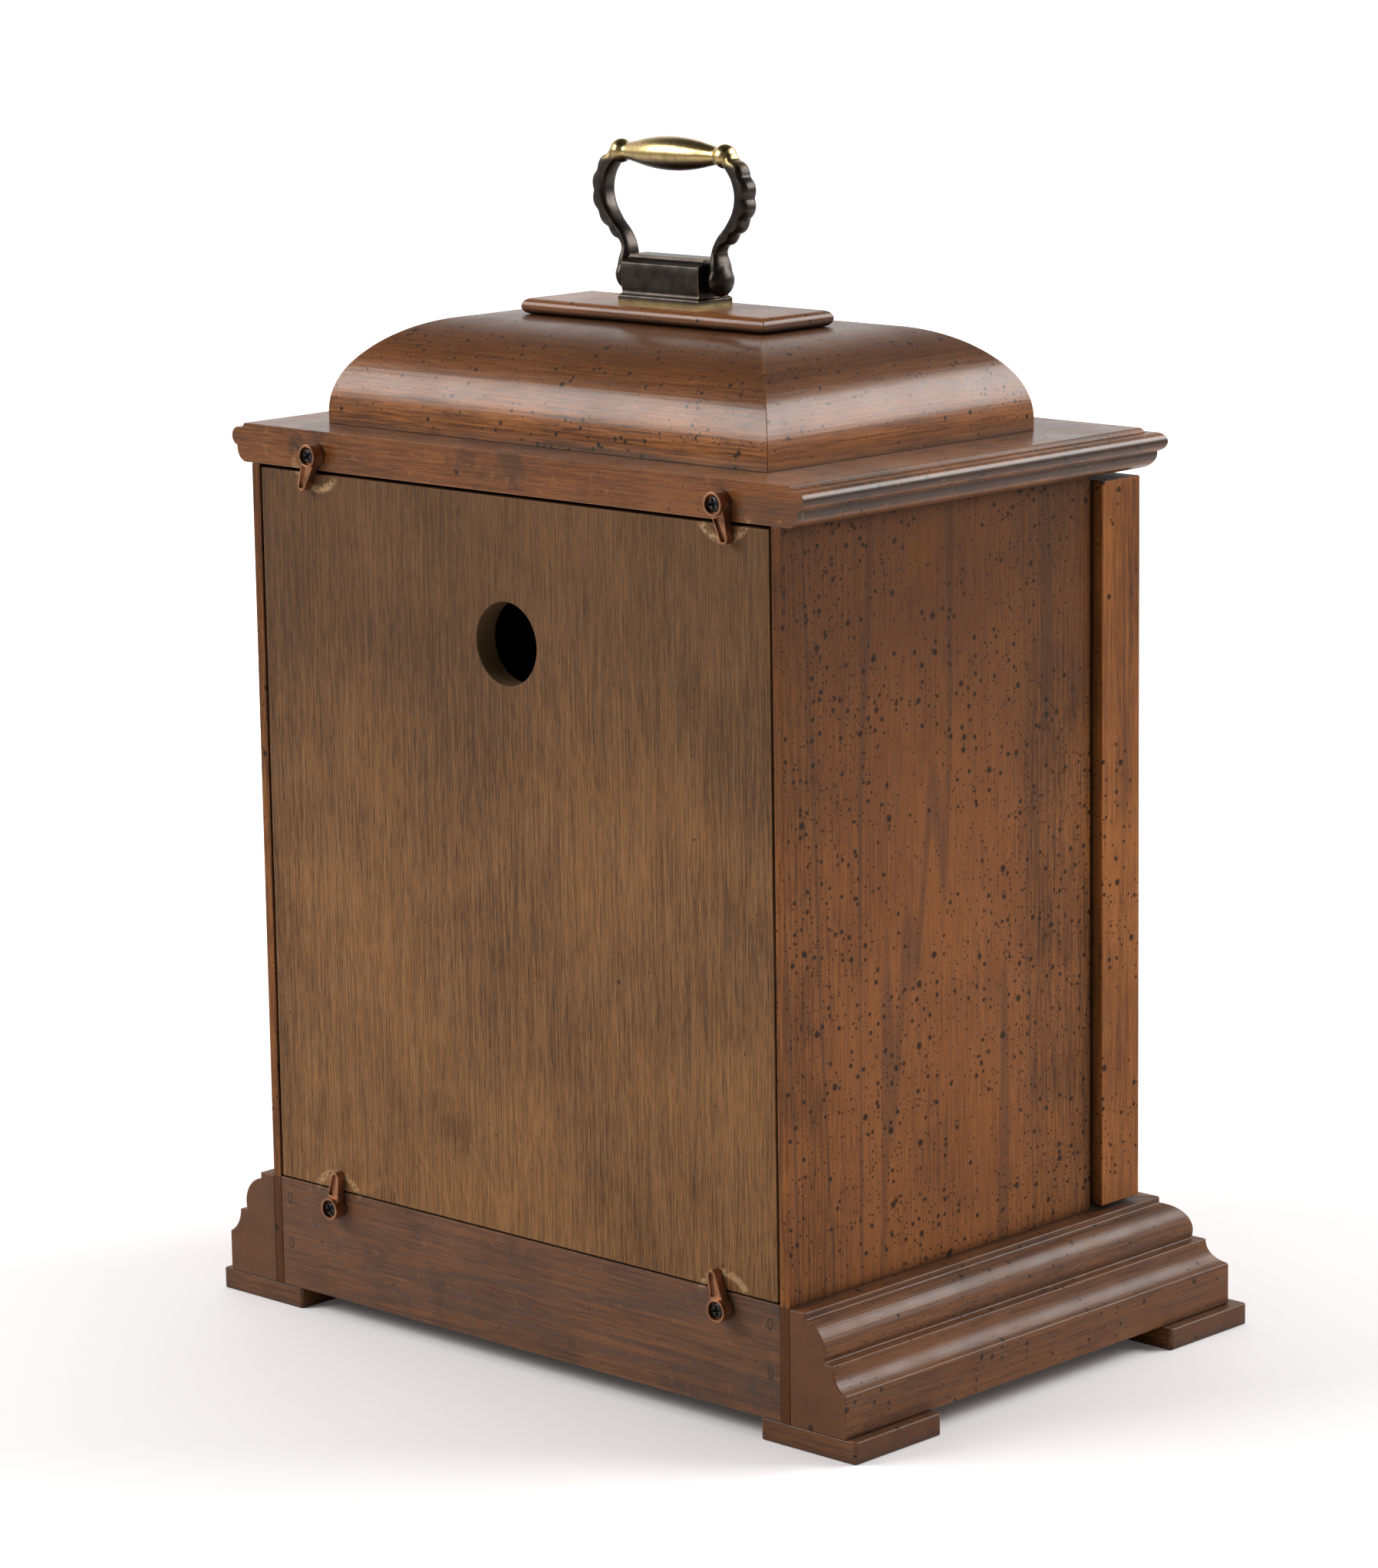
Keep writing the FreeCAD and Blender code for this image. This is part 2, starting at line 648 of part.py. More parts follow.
def make_bracket():
    """Cast bracket: flange, cove, block and stepped ridge, bored at both ends for the pivots."""
    half = S.block_depth / 2
    flange = S.flange_depth / 2

    def side(middle, base, body, ridge):
        corners = [(base, PLINTH_TOP), (base, PLINTH_TOP + 2.2, 1.2), (base - 1, PLINTH_TOP + 3.3, -1.6),
                   (body, PLINTH_TOP + 5.2), (body, PLINTH_TOP + 13.6, 1.0), (body - 1, PLINTH_TOP + 14.4),
                   (ridge, PLINTH_TOP + 14.8, -1.8), (ridge - 1.4, PLINTH_TOP + 16.6)]
        return [(middle + corner[0],) + corner[1:] for corner in mirrored_pair(corners)]
    long_section = side(HANDLE_Y, flange, half, half - 2)
    across = prism("bracket_across", "YZ", long_section, (-S.block_width, S.block_width))
    end = S.block_width / 2
    end_section = [(-end - 0.7, PLINTH_TOP), (end + 0.7, PLINTH_TOP), (end + 0.7, PLINTH_TOP + 2.6),
                   (end, PLINTH_TOP + 3.3), (end, PLINTH_TOP + 14.4), (end - 1.2, PLINTH_TOP + 16.6),
                   (1.2 - end, PLINTH_TOP + 16.6), (-end, PLINTH_TOP + 14.4), (-end, PLINTH_TOP + 3.3),
                   (-end - 0.7, PLINTH_TOP + 2.6)]
    depth = (HANDLE_Y - S.flange_depth, HANDLE_Y + S.flange_depth)
    along = prism("bracket_along", "XZ", end_section, depth)
    blank = common("bracket_blank", across, along)
    bores = [flatted("bracket_bore_%d" % index, "x", S.pivot_pin, span, (HANDLE_Y, PIVOT_Z))
             for index, span in enumerate(((-end - 1, 8 - end), (end - 8, end + 1)))]
    node("handle_bracket", cut("handle_bracket", blank, *(bores + bolt_shanks("bracket"))))


def make_pivots_and_bolts():
    end = S.block_width / 2
    reach = end + S.bulb_thick - 2
    pins = [flatted("pivot_pin_left", "x", S.pivot_pin, (-reach, 8 - end), (HANDLE_Y, PIVOT_Z)),
            flatted("pivot_pin_right", "x", S.pivot_pin, (end - 8, reach), (HANDLE_Y, PIVOT_Z))]
    node("handle_pivots", group("handle_pivots", pins))
    bolts = []
    for index, way in enumerate((-1, 1)):
        spot = (way * BOLT_X, HANDLE_Y)
        shank = flatted("bolt_shank_%d" % index, "z", BOLT_WIDE, (DOME_TOP - 1, PLINTH_TOP + 6), spot)
        head = flatted("bolt_head_%d" % index, "z", 2 * BOLT_WIDE, (DOME_TOP - 3, DOME_TOP), spot, 6)
        bolts.append(fuse("bolt_%d" % index, shank, head))
    node("handle_bolts", group("handle_bolts", bolts))


def bail_arm(way):
    """One cast arm in the X-Z plane: a smooth inner edge and a scalloped outer edge."""
    def at(across, up):
        return (way * across, PIVOT_Z + up)
    outer = [at(20.6, 3.0), at(22.3, 9.4)]
    scallops = [at(25.6, 12.0), at(29.6, 15.0), at(33.0, 19.6), at(35.0, 25.2), at(35.0, 31.2),
                at(32.6, 36.6), at(28.2, 41.0)]
    inner = [at(23.6, 36.9), at(28.2, 35.6), at(31.4, 29.6), at(30.6, 23.6), at(26.6, 18.0),
             at(21.4, 13.0), at(19.4, 8.0), at(19.2, 3.0)]
    corners = [outer[0]]
    corners.append(outer[1] + (way * 3.6,))
    corners += [corner + (way * 4.2,) for corner in scallops[:-1]]
    corners.append(scallops[-1])
    corners.append(at(24.5, 42.5))
    corners.append(inner[0] + (-way * 7.0,))
    corners.append(inner[1] + (-way * 9.0,))
    corners.append(inner[2] + (-way * 14.0,))
    corners.append(inner[3] + (-way * 16.0,))
    corners.append(inner[4])
    corners.append(inner[5] + (way * 7.0,))
    corners.append(inner[6])
    corners.append(inner[7])
    band = S.bail_band / 2
    name = "bail_arm_%s" % ("left" if way < 0 else "right")
    return prism(name, "XZ", corners, (HANDLE_Y - band, HANDLE_Y + band))


def bulb(way):
    """Domed round end of an arm, turned about the pivot and flat beside the bracket's end."""
    start = S.block_width / 2 + S.running_gap
    radius = S.bulb_wide / 2
    end = start + S.bulb_thick
    rings = [(start, radius - 1.2), (start + 1.4, radius), (end - 2.6, radius), (end - 1.0, radius * 0.75),
             (end, radius * 0.35)]
    rings = [(way * along, wide) for along, wide in rings]
    name = "bail_bulb_%s" % ("left" if way < 0 else "right")
    return turned(name, "x", rings[::way], (HANDLE_Y, PIVOT_Z))


def make_bail():
    """Cast bail: turned grip with a bead at each end, two scalloped arms and round ends."""
    grip_z = PIVOT_Z + S.bail_high
    neck = S.grip_neck / 2
    half = S.grip_half
    swell = S.grip_thick / 2 - neck
    side = [(0, neck + swell), (half / 3, neck + swell * 8 / 9), (half * 2 / 3, neck + swell * 5 / 9),
            (half, neck), (half + 2.1, neck + 0.4), (half + 3.5, 4.1), (half + 4.9, 4.1),
            (half + 6.2, 3.3), (half + 7.3, 1.6)]
    rings = [(-along, radius) for along, radius in side[:0:-1]] + side
    grip = turned("bail_grip", "x", rings, (HANDLE_Y, grip_z))
    whole = fuse("bail_casting", grip, bail_arm(-1), bail_arm(1), bulb(-1), bulb(1))
    end = S.block_width / 2
    reach = end + S.bulb_thick - 1.2
    bores = [bore("bail_bore_%d" % index, "x", S.pivot_pin + 2 * S.shaft_gap, span, (HANDLE_Y, PIVOT_Z))
             for index, span in enumerate(((-reach, -end), (end, reach)))]
    node("handle_bail", cut("handle_bail", whole, *bores))


# ---------------------------------------------------------------- back panel and turn buttons

# Turn buttons: name, place across and up, and the arm's swing from straight down in degrees.
TURN_BUTTONS = [
    ("turn_button_top_right", 91.3, 309.6, 23.0),
    ("turn_button_top_left", -100.0, 309.9, -16.3),
    ("turn_button_low_right", 90.8, 41.9, -171.0),
    ("turn_button_low_left", -96.5, 41.9, 164.8),
]
TURN_SPOTS = [(across, up) for _, across, up, _ in TURN_BUTTONS]


def make_back_panel():
    """Plywood panel in a body of its own: a pad and the round hole through it."""
    body = DOC.addObject("PartDesign::Body", "back_panel")
    half = S.panel_width / 2
    pad = padded(body, "back_panel_face", "XZ_Plane",
                 rectangle(-half, S.panel_low, half, S.panel_top), -BACK, S.panel_thick)
    hole = circle_sketch(body, "back_panel_hole", "XZ_Plane", 0, S.hole_high, S.panel_hole, -BACK)
    pocket = body.newObject("PartDesign::Pocket", "back_panel_bore")
    pocket.Profile = hole
    pocket.Reversed = True
    bind(pocket, "Length", S.panel_thick)
    DOC.recompute()
    if pocket.Shape.Volume >= pad.Shape.Volume:
        raise RuntimeError("the back panel's hole cut nothing")
    node("back_panel", body)


def origin_plane(body, role):
    return [part for part in body.Origin.OriginFeatures if part.Role == role][0]


def body_sketch(body, name, role, level):
    """A sketch on one of the body's own origin planes, level along the plane's normal."""
    sketch = body.newObject("Sketcher::SketchObject", name + "_sketch")
    sketch.AttachmentSupport = (origin_plane(body, role), [""])
    sketch.MapMode = "FlatFace"
    bind(sketch, "AttachmentOffset.Base.z", level)
    return sketch


def padded(body, name, role, corners, level, length, reverse=False):
    sketch = body_sketch(body, name, role, level)
    sketch_edges(sketch, corners)
    pad = body.newObject("PartDesign::Pad", name)
    pad.Profile = sketch
    pad.Reversed = reverse
    bind(pad, "Length", length)
    DOC.recompute()
    return pad


def circle_sketch(body, name, role, across, up, diameter, level):
    sketch = body_sketch(body, name, role, level)
    centre = Vector(number(across), number(up), 0)
    ring = sketch.addGeometry(Part.Circle(centre, Vector(0, 0, 1), number(diameter) / 2), False)
    for kind, size in (("DistanceX", across), ("DistanceY", up)):
        held = sketch.addConstraint(Sketcher.Constraint(kind, -1, 1, ring, 3, number(size)))
        bind(sketch, "Constraints[%d]" % held, size)
    held = sketch.addConstraint(Sketcher.Constraint("Diameter", ring, number(diameter)))
    bind(sketch, "Constraints[%d]" % held, diameter)
    return sketch


def make_turn_buttons():
    """Cast turn buttons: a dished boss and a channelled arm that tapers to a round tip."""
    boss = S.turn_boss / 2
    tip = 1.9
    root = 2.9
    stand = S.turn_stand
    for name, across, up, swing in TURN_BUTTONS:
        gap = S.running_gap
        disc = rod(name + "_boss", "y", S.turn_boss, (gap, stand), (0, 0))
        reach = S.turn_arm - tip
        arm = prism(name + "_arm", "XZ", [
            (-root, -1.0), (-tip, -reach, tip), (0, -reach - tip, tip), (tip, -reach), (root, -1.0)],
            (gap, gap + S.turn_arm_thick))
        rim = 0.8
        channel = prism(name + "_channel", "XZ", [
            (rim - root, -boss - 0.6), (rim - tip, -reach, tip - rim), (0, -reach - tip + rim, tip - rim),
            (tip - rim, -reach), (root - rim, -boss - 0.6)],
            (gap + S.turn_arm_thick - 1.0, gap + S.turn_arm_thick + 1))
        carved = cut(name + "_carved", arm, channel)
        solid = fuse(name + "_solid", disc, carved)
        hole = bore(name + "_hole", "y", S.screw_shank + 2 * S.shaft_gap, (gap - 1, stand + 1), (0, 0))
        dish = flatted(name + "_dish", "y", S.turn_boss - 1.6, (stand - 2.0, stand + 1), (0, 0), 20)
        button = cut(name, solid, hole, dish)
        button.Placement = Placement(Vector(), Rotation(Vector(0, 1, 0), -swing))
        place(button, across, BACK, up)
        node(name, button)


def make_turn_screws():
    """Flat-headed screws, one in each turn button's dish."""
    screws = []
    for name, across, up, _ in TURN_BUTTONS:
        shank = flatted(name + "_screw_shank", "y", S.screw_shank,
                        (BACK - S.screw_long, BACK + S.turn_stand - 1.2), (across, up))
        head = flatted(name + "_screw_head", "y", S.turn_boss - 2.4,
                       (BACK + S.turn_stand - 1.7, BACK + S.turn_stand - 0.5), (across, up), 16)
        screws.append(fuse(name + "_screw", shank, head))
    node("turn_button_screws", group("turn_button_screws", screws))


# ---------------------------------------------------------------- door

LATCH_FRONT = FRONT + 1.9


def frame_section(edge, way):
    """Door frame section in (across, depth): flat face, ovolo inner edge, rebate for the glass."""
    face = DOOR_FACE
    flat = edge + way * S.frame_flat
    inner = edge + way * S.frame_wide
    rebate = inner - way * S.glass_rebate
    glass = face + S.glass_setback
    bend = S.frame_wide - S.frame_flat - 1.0
    return [
        (edge, face), (flat, face), (flat, face + 1.0, way * bend),
        (inner - way * 1.0, face + 1.0 + bend), (inner, face + 1.0 + bend),
        (inner, glass), (rebate, glass), (rebate, DOOR_BACK), (edge, DOOR_BACK),
    ]


def make_door_frame():
    """Two stiles and two rails with one section, mitred at the corners."""
    wide = S.frame_wide
    low, high = S.door_low, S.door_top
    depth = (DOOR_FACE - 1, DOOR_BACK + 1)
    for side, edge, way in (("left", -DOOR_HALF, 1), ("right", DOOR_HALF, -1)):
        name = "door_stile_%s" % side
        bar = prism(name + "_bar", "XY", frame_section(edge, way), (low, high))
        plan = prism(name + "_plan", "XZ", [
            (edge, low), (edge, high), (edge + way * wide, high - wide), (edge + way * wide, low + wide)],
            depth)
        stile = common(name + "_blank" if side == "left" else name, bar, plan)
        if side == "left":
            hole = bore("knob_hole", "y", S.knob_shaft + 2 * S.shaft_gap, depth, (KNOB_X, S.dial_high))
            stile = cut(name, stile, hole)
        node(name, stile)
    for end, edge, way in (("bottom", low, 1), ("top", high, -1)):
        name = "door_rail_%s" % end
        section = [(corner[1], corner[0]) + tuple(-size for size in corner[2:])
                   for corner in frame_section(edge, way)]
        bar = prism(name + "_bar", "YZ", section, (-DOOR_HALF, DOOR_HALF))
        plan = prism(name + "_plan", "XZ", [
            (-DOOR_HALF, edge), (DOOR_HALF, edge), (DOOR_HALF - wide, edge + way * wide),
            (wide - DOOR_HALF, edge + way * wide)], depth)
        node(name, common(name, bar, plan))


def make_door_glass():
    """The pane in its rebate and the four beads that hold it."""
    inset = S.frame_wide - S.glass_rebate
    front = DOOR_FACE + S.glass_setback
    half = DOOR_HALF - inset
    low = S.door_low + inset
    high = S.door_top - inset
    back = front + S.glass_thick
    node("door_glass", box("door_glass", (0.5 - half, half - 0.5), (front, back), (low + 0.5, high - 0.5)))
    bead = S.glass_rebate - 1
    depth = (back, back + bead)
    beads = [
        box("bead_left", (-half, bead - half), depth, (low, high)),
        box("bead_right", (half - bead, half), depth, (low, high)),
        box("bead_bottom", (bead - half, half - bead), depth, (low, low + bead)),
        box("bead_top", (bead - half, half - bead), depth, (high - bead, high)),
    ]
    node("glass_beads", group("glass_beads", beads))


def make_hinges():
    """Two butt hinges: the case's leaves carry the end knuckles, the door's the middle one."""
    tall = S.leaf_tall
    third = tall / 3
    gap = S.running_gap
    ring = S.knuckle
    leaf_in = INNER + 1.5
    case_leaf = (FRONT - S.leaf_thick, FRONT)
    door_leaf = (DOOR_BACK, DOOR_BACK + S.leaf_thick)
    middles = (S.door_low + S.hinge_inset, S.door_top - S.hinge_inset)
    case_pieces = []
    door_pieces = []
    pins = []
    for index, middle in enumerate(middles):
        low = middle - tall / 2
        top = middle + tall / 2
        centre = (HINGE_X, HINGE_Y)
        ends = ((low, low + third - gap), (top - third + gap, top))
        plate = box("case_leaf_%d" % index, (leaf_in, HINGE_X), case_leaf, (low, top))
        notch = box("case_notch_%d" % index, (HINGE_X - ring / 2 - gap, HINGE_X + ring),
                    (HINGE_Y - ring, HINGE_Y + ring), (low + third - gap, top - third + gap))
        rings = [flatted("case_knuckle_%d_%d" % (index, end), "z", ring, span, centre, 16)
                 for end, span in enumerate(ends)]
        hole = flatted("case_pin_hole_%d" % index, "z", S.hinge_pin, (low - 1, top + 1), centre)
        solid = fuse("case_leaf_whole_%d" % index, cut("case_leaf_cut_%d" % index, plate, notch), *rings)
        case_pieces.append(cut("case_hinge_%d" % index, solid, hole))
        middle_span = (low + third, top - third)
        plate = box("door_leaf_%d" % index, (leaf_in, HINGE_X), door_leaf, (low, top))
        notches = [box("door_notch_%d_%d" % (index, end), (HINGE_X - ring / 2 - gap, HINGE_X + ring),
                       (HINGE_Y - ring, HINGE_Y + ring), span)
                   for end, span in enumerate(((low - 1, low + third), (top - third, top + 1)))]
        ring_solid = flatted("door_knuckle_%d" % index, "z", ring, middle_span, centre, 16)
        pin_room = S.hinge_pin + 2 * S.shaft_gap
        hole = bore("door_pin_hole_%d" % index, "z", pin_room, (low - 1, top + 1), centre)
        solid = fuse("door_leaf_whole_%d" % index, cut("door_leaf_cut_%d" % index, plate, *notches),
                     ring_solid)
        door_pieces.append(cut("door_hinge_%d" % index, solid, hole))
        pins.append(flatted("hinge_pin_%d" % index, "z", S.hinge_pin, (low, top), centre))
    node("hinge_leaves_case", group("hinge_leaves_case", case_pieces))
    node("hinge_leaves_door", group("hinge_leaves_door", door_pieces))
    node("hinge_pins", group("hinge_pins", pins))


def make_knob():
    """Turned knob on a shaft through the stile, with the latch tongue behind the door."""
    face = DOOR_FACE
    wide = S.knob_wide / 2
    end = face - S.knob_long
    back = LATCH_FRONT + S.tongue_thick
    x = KNOB_X
    foot = face - S.running_gap
    rings = [(end, wide * 0.40), (end + 1.5, wide * 0.80), (face - 11.8, wide), (face - 9.4, wide * 0.96),
             (face - 6.8, wide * 0.58), (face - 5.0, wide * 0.42), (face - 2.8, wide * 0.42),
             (face - 1.6, wide * 0.72), (foot, wide * 0.72)]
    head = turned("knob_head", "y", rings, (x, S.dial_high), 20)
    shaft = flatted("knob_shaft", "y", S.knob_shaft, (face - 1, back), (x, S.dial_high))
    half = S.tongue_wide / 2
    tongue = box("latch_tongue", (x - half, x + half), (LATCH_FRONT, back),
                 (S.dial_high - half, S.dial_high + S.tongue_long))
    node("door_knob", fuse("door_knob", head, shaft, tongue))


# ---------------------------------------------------------------- dial and hands

def make_dial():
    """Wooden dial board, brass dial plate, silvered chapter ring and corner spandrels."""
    centre = S.dial_high
    board = box("dial_board_blank", (-INNER, INNER), (BOARD_FRONT, BOARD_BACK), (S.base_top, S.case_top))
    depth = (BOARD_FRONT - 1, BOARD_BACK + 1)
    holes = [bore("board_centre_hole", "y", 14.0, depth, (0, centre))]
    holes += [bore("board_wind_hole_%d" % index, "y", 12.0, depth, (way * S.arbor_out, ARBOR_Z))
              for index, way in enumerate((-1, 1))]
    node("dial_board", cut("dial_board", board, *holes))
    half = S.dial_size / 2
    plate = box("dial_blank", (-half, half), (DIAL_FRONT, BOARD_FRONT), (centre - half, centre + half))
    depth = (DIAL_FRONT - 1, BOARD_FRONT + 1)
    holes = [bore("dial_centre_hole", "y", 9.0, depth, (0, centre), 20)]
    holes += [bore("dial_wind_hole_%d" % index, "y", 9.0, depth, (way * S.arbor_out, ARBOR_Z), 20)
              for index, way in enumerate((-1, 1))]
    node("dial_plate", cut("dial_plate", plate, *holes))
    ring = rod("ring_disc", "y", S.ring_outer, (RING_FRONT, DIAL_FRONT), (0, centre))
    inside = rod("ring_inside", "y", S.ring_inner, (RING_FRONT - 1, DIAL_FRONT + 1), (0, centre))
    node("chapter_ring", cut("chapter_ring", ring, inside))
    node("spandrels", group("spandrels", [spandrel(way, rise) for way in (-1, 1) for rise in (-1, 1)]))


def spandrel(way, rise):
    """Cast corner leaf with a lobed edge."""
    half = number(S.dial_size) / 2 - 3.0
    lobes = 4
    points = []
    for index in range(lobes + 1):
        angle = math.radians(4 + 82.0 * index / lobes)
        reach = 29.0 - 9.0 * abs(math.cos(2 * angle))
        points.append((reach * math.cos(angle), reach * math.sin(angle)))
    corners = [(half, half)] + [(half - across, half - up) for across, up in points]
    handed = way * rise
    placed = []
    for index, (across, up) in enumerate(corners):
        bend = ()
        if 0 < index < len(corners) - 1:
            bend = (-handed * 6.4,)
        placed.append((Size.of(way * across), S.dial_high + rise * up) + bend)
    name = "spandrel_%s_%s" % ("left" if way < 0 else "right", "low" if rise < 0 else "high")
    return prism(name, "XZ", placed, (RING_FRONT, DIAL_FRONT))


HOUR_WHEEL_FRONT = BOARD_BACK + 2.6
MINUTE_WHEEL_FRONT = BOARD_BACK + 6.0
WHEEL_THICK = 1.2
PINION_THICK = 3.0
HOUR_HAND_BACK = RING_FRONT - 1.6
MINUTE_HAND_BACK = HOUR_HAND_BACK - 2.4


def hand(name, reach, ring_at, ring_wide, boss_wide, bore_wide, back):
    """A hand with a pierced ring: boss, tapered stem, ring and pointed tip."""
    centre = S.dial_high
    depth = (back - S.hand_thick, back)
    boss = flatted(name + "_boss", "y", boss_wide, depth, (0, centre), 20)
    stem = prism(name + "_stem", "XZ", [
        (-1.5, centre), (1.5, centre), (1.0, centre + ring_at), (-1.0, centre + ring_at)], depth)
    ring = flatted(name + "_ring", "y", ring_wide, depth, (0, centre + ring_at), 20)
    base = ring_at + ring_wide / 2 - 1
    tip = prism(name + "_tip", "XZ", [
        (-1.6, centre + base), (1.6, centre + base), (1.0, centre + base + 2.2), (2.2, centre + base + 4.2),
        (0.3, centre + reach), (-0.3, centre + reach), (-2.2, centre + base + 4.2),
        (-1.0, centre + base + 2.2)], depth)
    deeper = (back - S.hand_thick - 1, back + 1)
    pierced = flatted(name + "_pierced", "y", ring_wide - 3.4, deeper, (0, centre + ring_at), 20)
    hole = flatted(name + "_hole", "y", bore_wide, deeper, (0, centre))
    solid = fuse(name + "_solid", boss, stem, ring, tip)
    return node(name, cut(name, solid, pierced, hole))


def toothed_wheel(name, teeth, module, front, thick, across, up, turn=0):
    """A wheel cut like a real one: a disc, one tooth space and a pattern of it.

    A space points straight up unless the wheel is turned, in degrees.
    """
    pitch_radius = module * teeth / 2
    tip_radius = pitch_radius + 0.85 * module
    root_radius = pitch_radius - 1.15 * module
    step = math.pi * module
    body = DOC.addObject("PartDesign::Body", name)
    disc_sketch = circle_sketch(body, name + "_disc", "XZ_Plane", 0, 0, 2 * tip_radius, 0)
    disc = body.newObject("PartDesign::Pad", name + "_disc")
    disc.Profile = disc_sketch
    disc.Length = thick
    DOC.recompute()
    full = disc.Shape.Volume
    gap = body_sketch(body, name + "_space", "XZ_Plane", 0)
    sketch_edges(gap, [
        (-0.26 * step, root_radius), (0.26 * step, root_radius),
        (0.44 * step, tip_radius + 0.1), (-0.44 * step, tip_radius + 0.1)])
    space = body.newObject("PartDesign::Pocket", name + "_space")
    space.Profile = gap
    space.Type = "ThroughAll"
    space.Midplane = True
    DOC.recompute()
    if space.Shape.Volume >= full:
        raise RuntimeError("%s: the tooth space cut nothing" % name)
    pattern = body.newObject("PartDesign::PolarPattern", name + "_teeth")
    pattern.Originals = [space]
    pattern.Axis = (disc_sketch, ["N_Axis"])
    pattern.Angle = 360
    pattern.Occurrences = teeth
    body.Tip = pattern
    DOC.recompute()
    body.Placement = Placement(Vector(), Rotation(Vector(0, 1, 0), turn))
    place(body, across, front + thick, up)
    return body


def make_motion_work():
    """Cannon pinion, minute wheel and hour wheel that turn the hour hand at a twelfth."""
    centre = S.dial_high
    module = 2 * number(S.mesh_centre) / (CANNON_TEETH + MINUTE_TEETH)
    slow_module = 2 * number(S.mesh_centre) / (SMALL_TEETH + HOUR_TEETH)
    front = MINUTE_WHEEL_FRONT
    pinion = toothed_wheel("cannon_leaves", CANNON_TEETH, module, front - 0.6, PINION_THICK, 0, centre)
    pipe = flatted("cannon_pipe", "y", 4.6, (MINUTE_HAND_BACK, front + 3), (0, centre))
    hole = flatted("cannon_hole", "y", S.centre_wide, (MINUTE_HAND_BACK - 1, front + 4), (0, centre))
    node("cannon_pinion", cut("cannon_pinion", fuse("cannon_solid", pinion, pipe), hole))
    wheel = toothed_wheel("minute_wheel_rim", MINUTE_TEETH, module, front, WHEEL_THICK, 0, MESH_Z,
                          180 / MINUTE_TEETH)
    small = toothed_wheel("minute_wheel_leaves", SMALL_TEETH, slow_module,
                          HOUR_WHEEL_FRONT - 0.6, PINION_THICK, 0, MESH_Z, 180 / SMALL_TEETH)
    hub_span = (HOUR_WHEEL_FRONT - 0.6, front + WHEEL_THICK + 1.5)
    hub = flatted("minute_wheel_hub", "y", 4.0, hub_span, (0, MESH_Z))
    hole = bore("minute_wheel_hole", "y", 2.0 + 2 * S.shaft_gap, (BOARD_BACK, FRONT_PLATE), (0, MESH_Z))
    node("minute_wheel", cut("minute_wheel", fuse("minute_wheel_solid", wheel, small, hub), hole))
    wheel = toothed_wheel("hour_wheel_rim", HOUR_TEETH, slow_module, HOUR_WHEEL_FRONT, WHEEL_THICK,
                          0, centre)
    pipe = flatted("hour_pipe", "y", 7.0, (HOUR_HAND_BACK, HOUR_WHEEL_FRONT + WHEEL_THICK), (0, centre))
    hole = bore("hour_hole", "y", 4.6 + 2 * S.shaft_gap,
                (HOUR_HAND_BACK - 1, HOUR_WHEEL_FRONT + 3), (0, centre))
    node("hour_wheel", cut("hour_wheel", fuse("hour_solid", wheel, pipe), hole))


CANNON_TEETH = 12
MINUTE_TEETH = 36
SMALL_TEETH = 10
HOUR_TEETH = 40


def make_hands():
    hand("hour_hand", S.hour_reach, 27.0, 11.0, 12.0, 7.0, HOUR_HAND_BACK)
    hand("minute_hand", S.minute_reach, 46.0, 8.4, 9.0, 4.6, MINUTE_HAND_BACK)
    centre = (0, S.dial_high)
    shaft = flatted("centre_arbor", "y", S.centre_wide, (MINUTE_HAND_BACK - 3.4, PLATES_END + 2), centre)
    node("centre_arbor", shaft)
    nut_back = MINUTE_HAND_BACK - S.hand_thick
    nut = flatted("nut_blank", "y", 7.0, (nut_back - 2.2, nut_back), centre)
    tapped = flatted("nut_hole", "y", S.centre_wide, (MINUTE_HAND_BACK - 9, MINUTE_HAND_BACK), centre)
    node("hand_nut", cut("hand_nut", nut, tapped))


# ---------------------------------------------------------------- movement

HAMMER_PIVOT = (-48.0, 114.0)


def make_plates():
    """Front and back plates with their studs, their pillars and the posts to the dial board."""
    half = S.plate_width / 2
    low = S.dial_high - S.plate_height / 2 - 8
    high = low + S.plate_height
    inset = 8.0
    corners = [(way * (half - inset), level) for way in (-1, 1) for level in (low + inset, high - inset)]
    bores = {"front": (FRONT_PLATE, FRONT_PLATE + S.plate_thick), "back": (BACK_PLATE, PLATES_END)}
    for end, depth in bores.items():
        name = "movement_%s_plate" % end
        deeper = (depth[0] - 1, depth[1] + 1)
        blank = box(name + "_blank", (-half, half), depth, (low, high))
        holes = [bore(name + "_centre", "y", S.centre_wide + 2 * S.shaft_gap, deeper, (0, S.dial_high))]
        holes += [bore("%s_arbor_%d" % (name, index), "y", S.arbor_wide + 2 * S.shaft_gap, deeper,
                       (way * S.arbor_out, ARBOR_Z)) for index, way in enumerate((-1, 1))]
        if end == "front":
            span = (HOUR_WHEEL_FRONT - 0.4, FRONT_PLATE)
            stud = flatted("minute_wheel_stud", "y", 2.0, span, (0, MESH_Z))
        else:
            stud = flatted("hammer_stud", "y", 3.0, (PLATES_END, PLATES_END + 18), HAMMER_PIVOT)
        node(name, fuse(name, cut(name + "_bored", blank, *holes), stud))
    between = (FRONT_PLATE + S.plate_thick, BACK_PLATE)
    pillars = [flatted("pillar_%d" % index, "y", S.post_wide, between, spot, 6)
               for index, spot in enumerate(corners)]
    node("movement_pillars", group("movement_pillars", pillars))
    posts = [flatted("post_%d" % index, "y", S.post_wide, (BOARD_BACK, FRONT_PLATE), spot, 6)
             for index, spot in enumerate(corners)]
    node("movement_posts", group("movement_posts", posts))


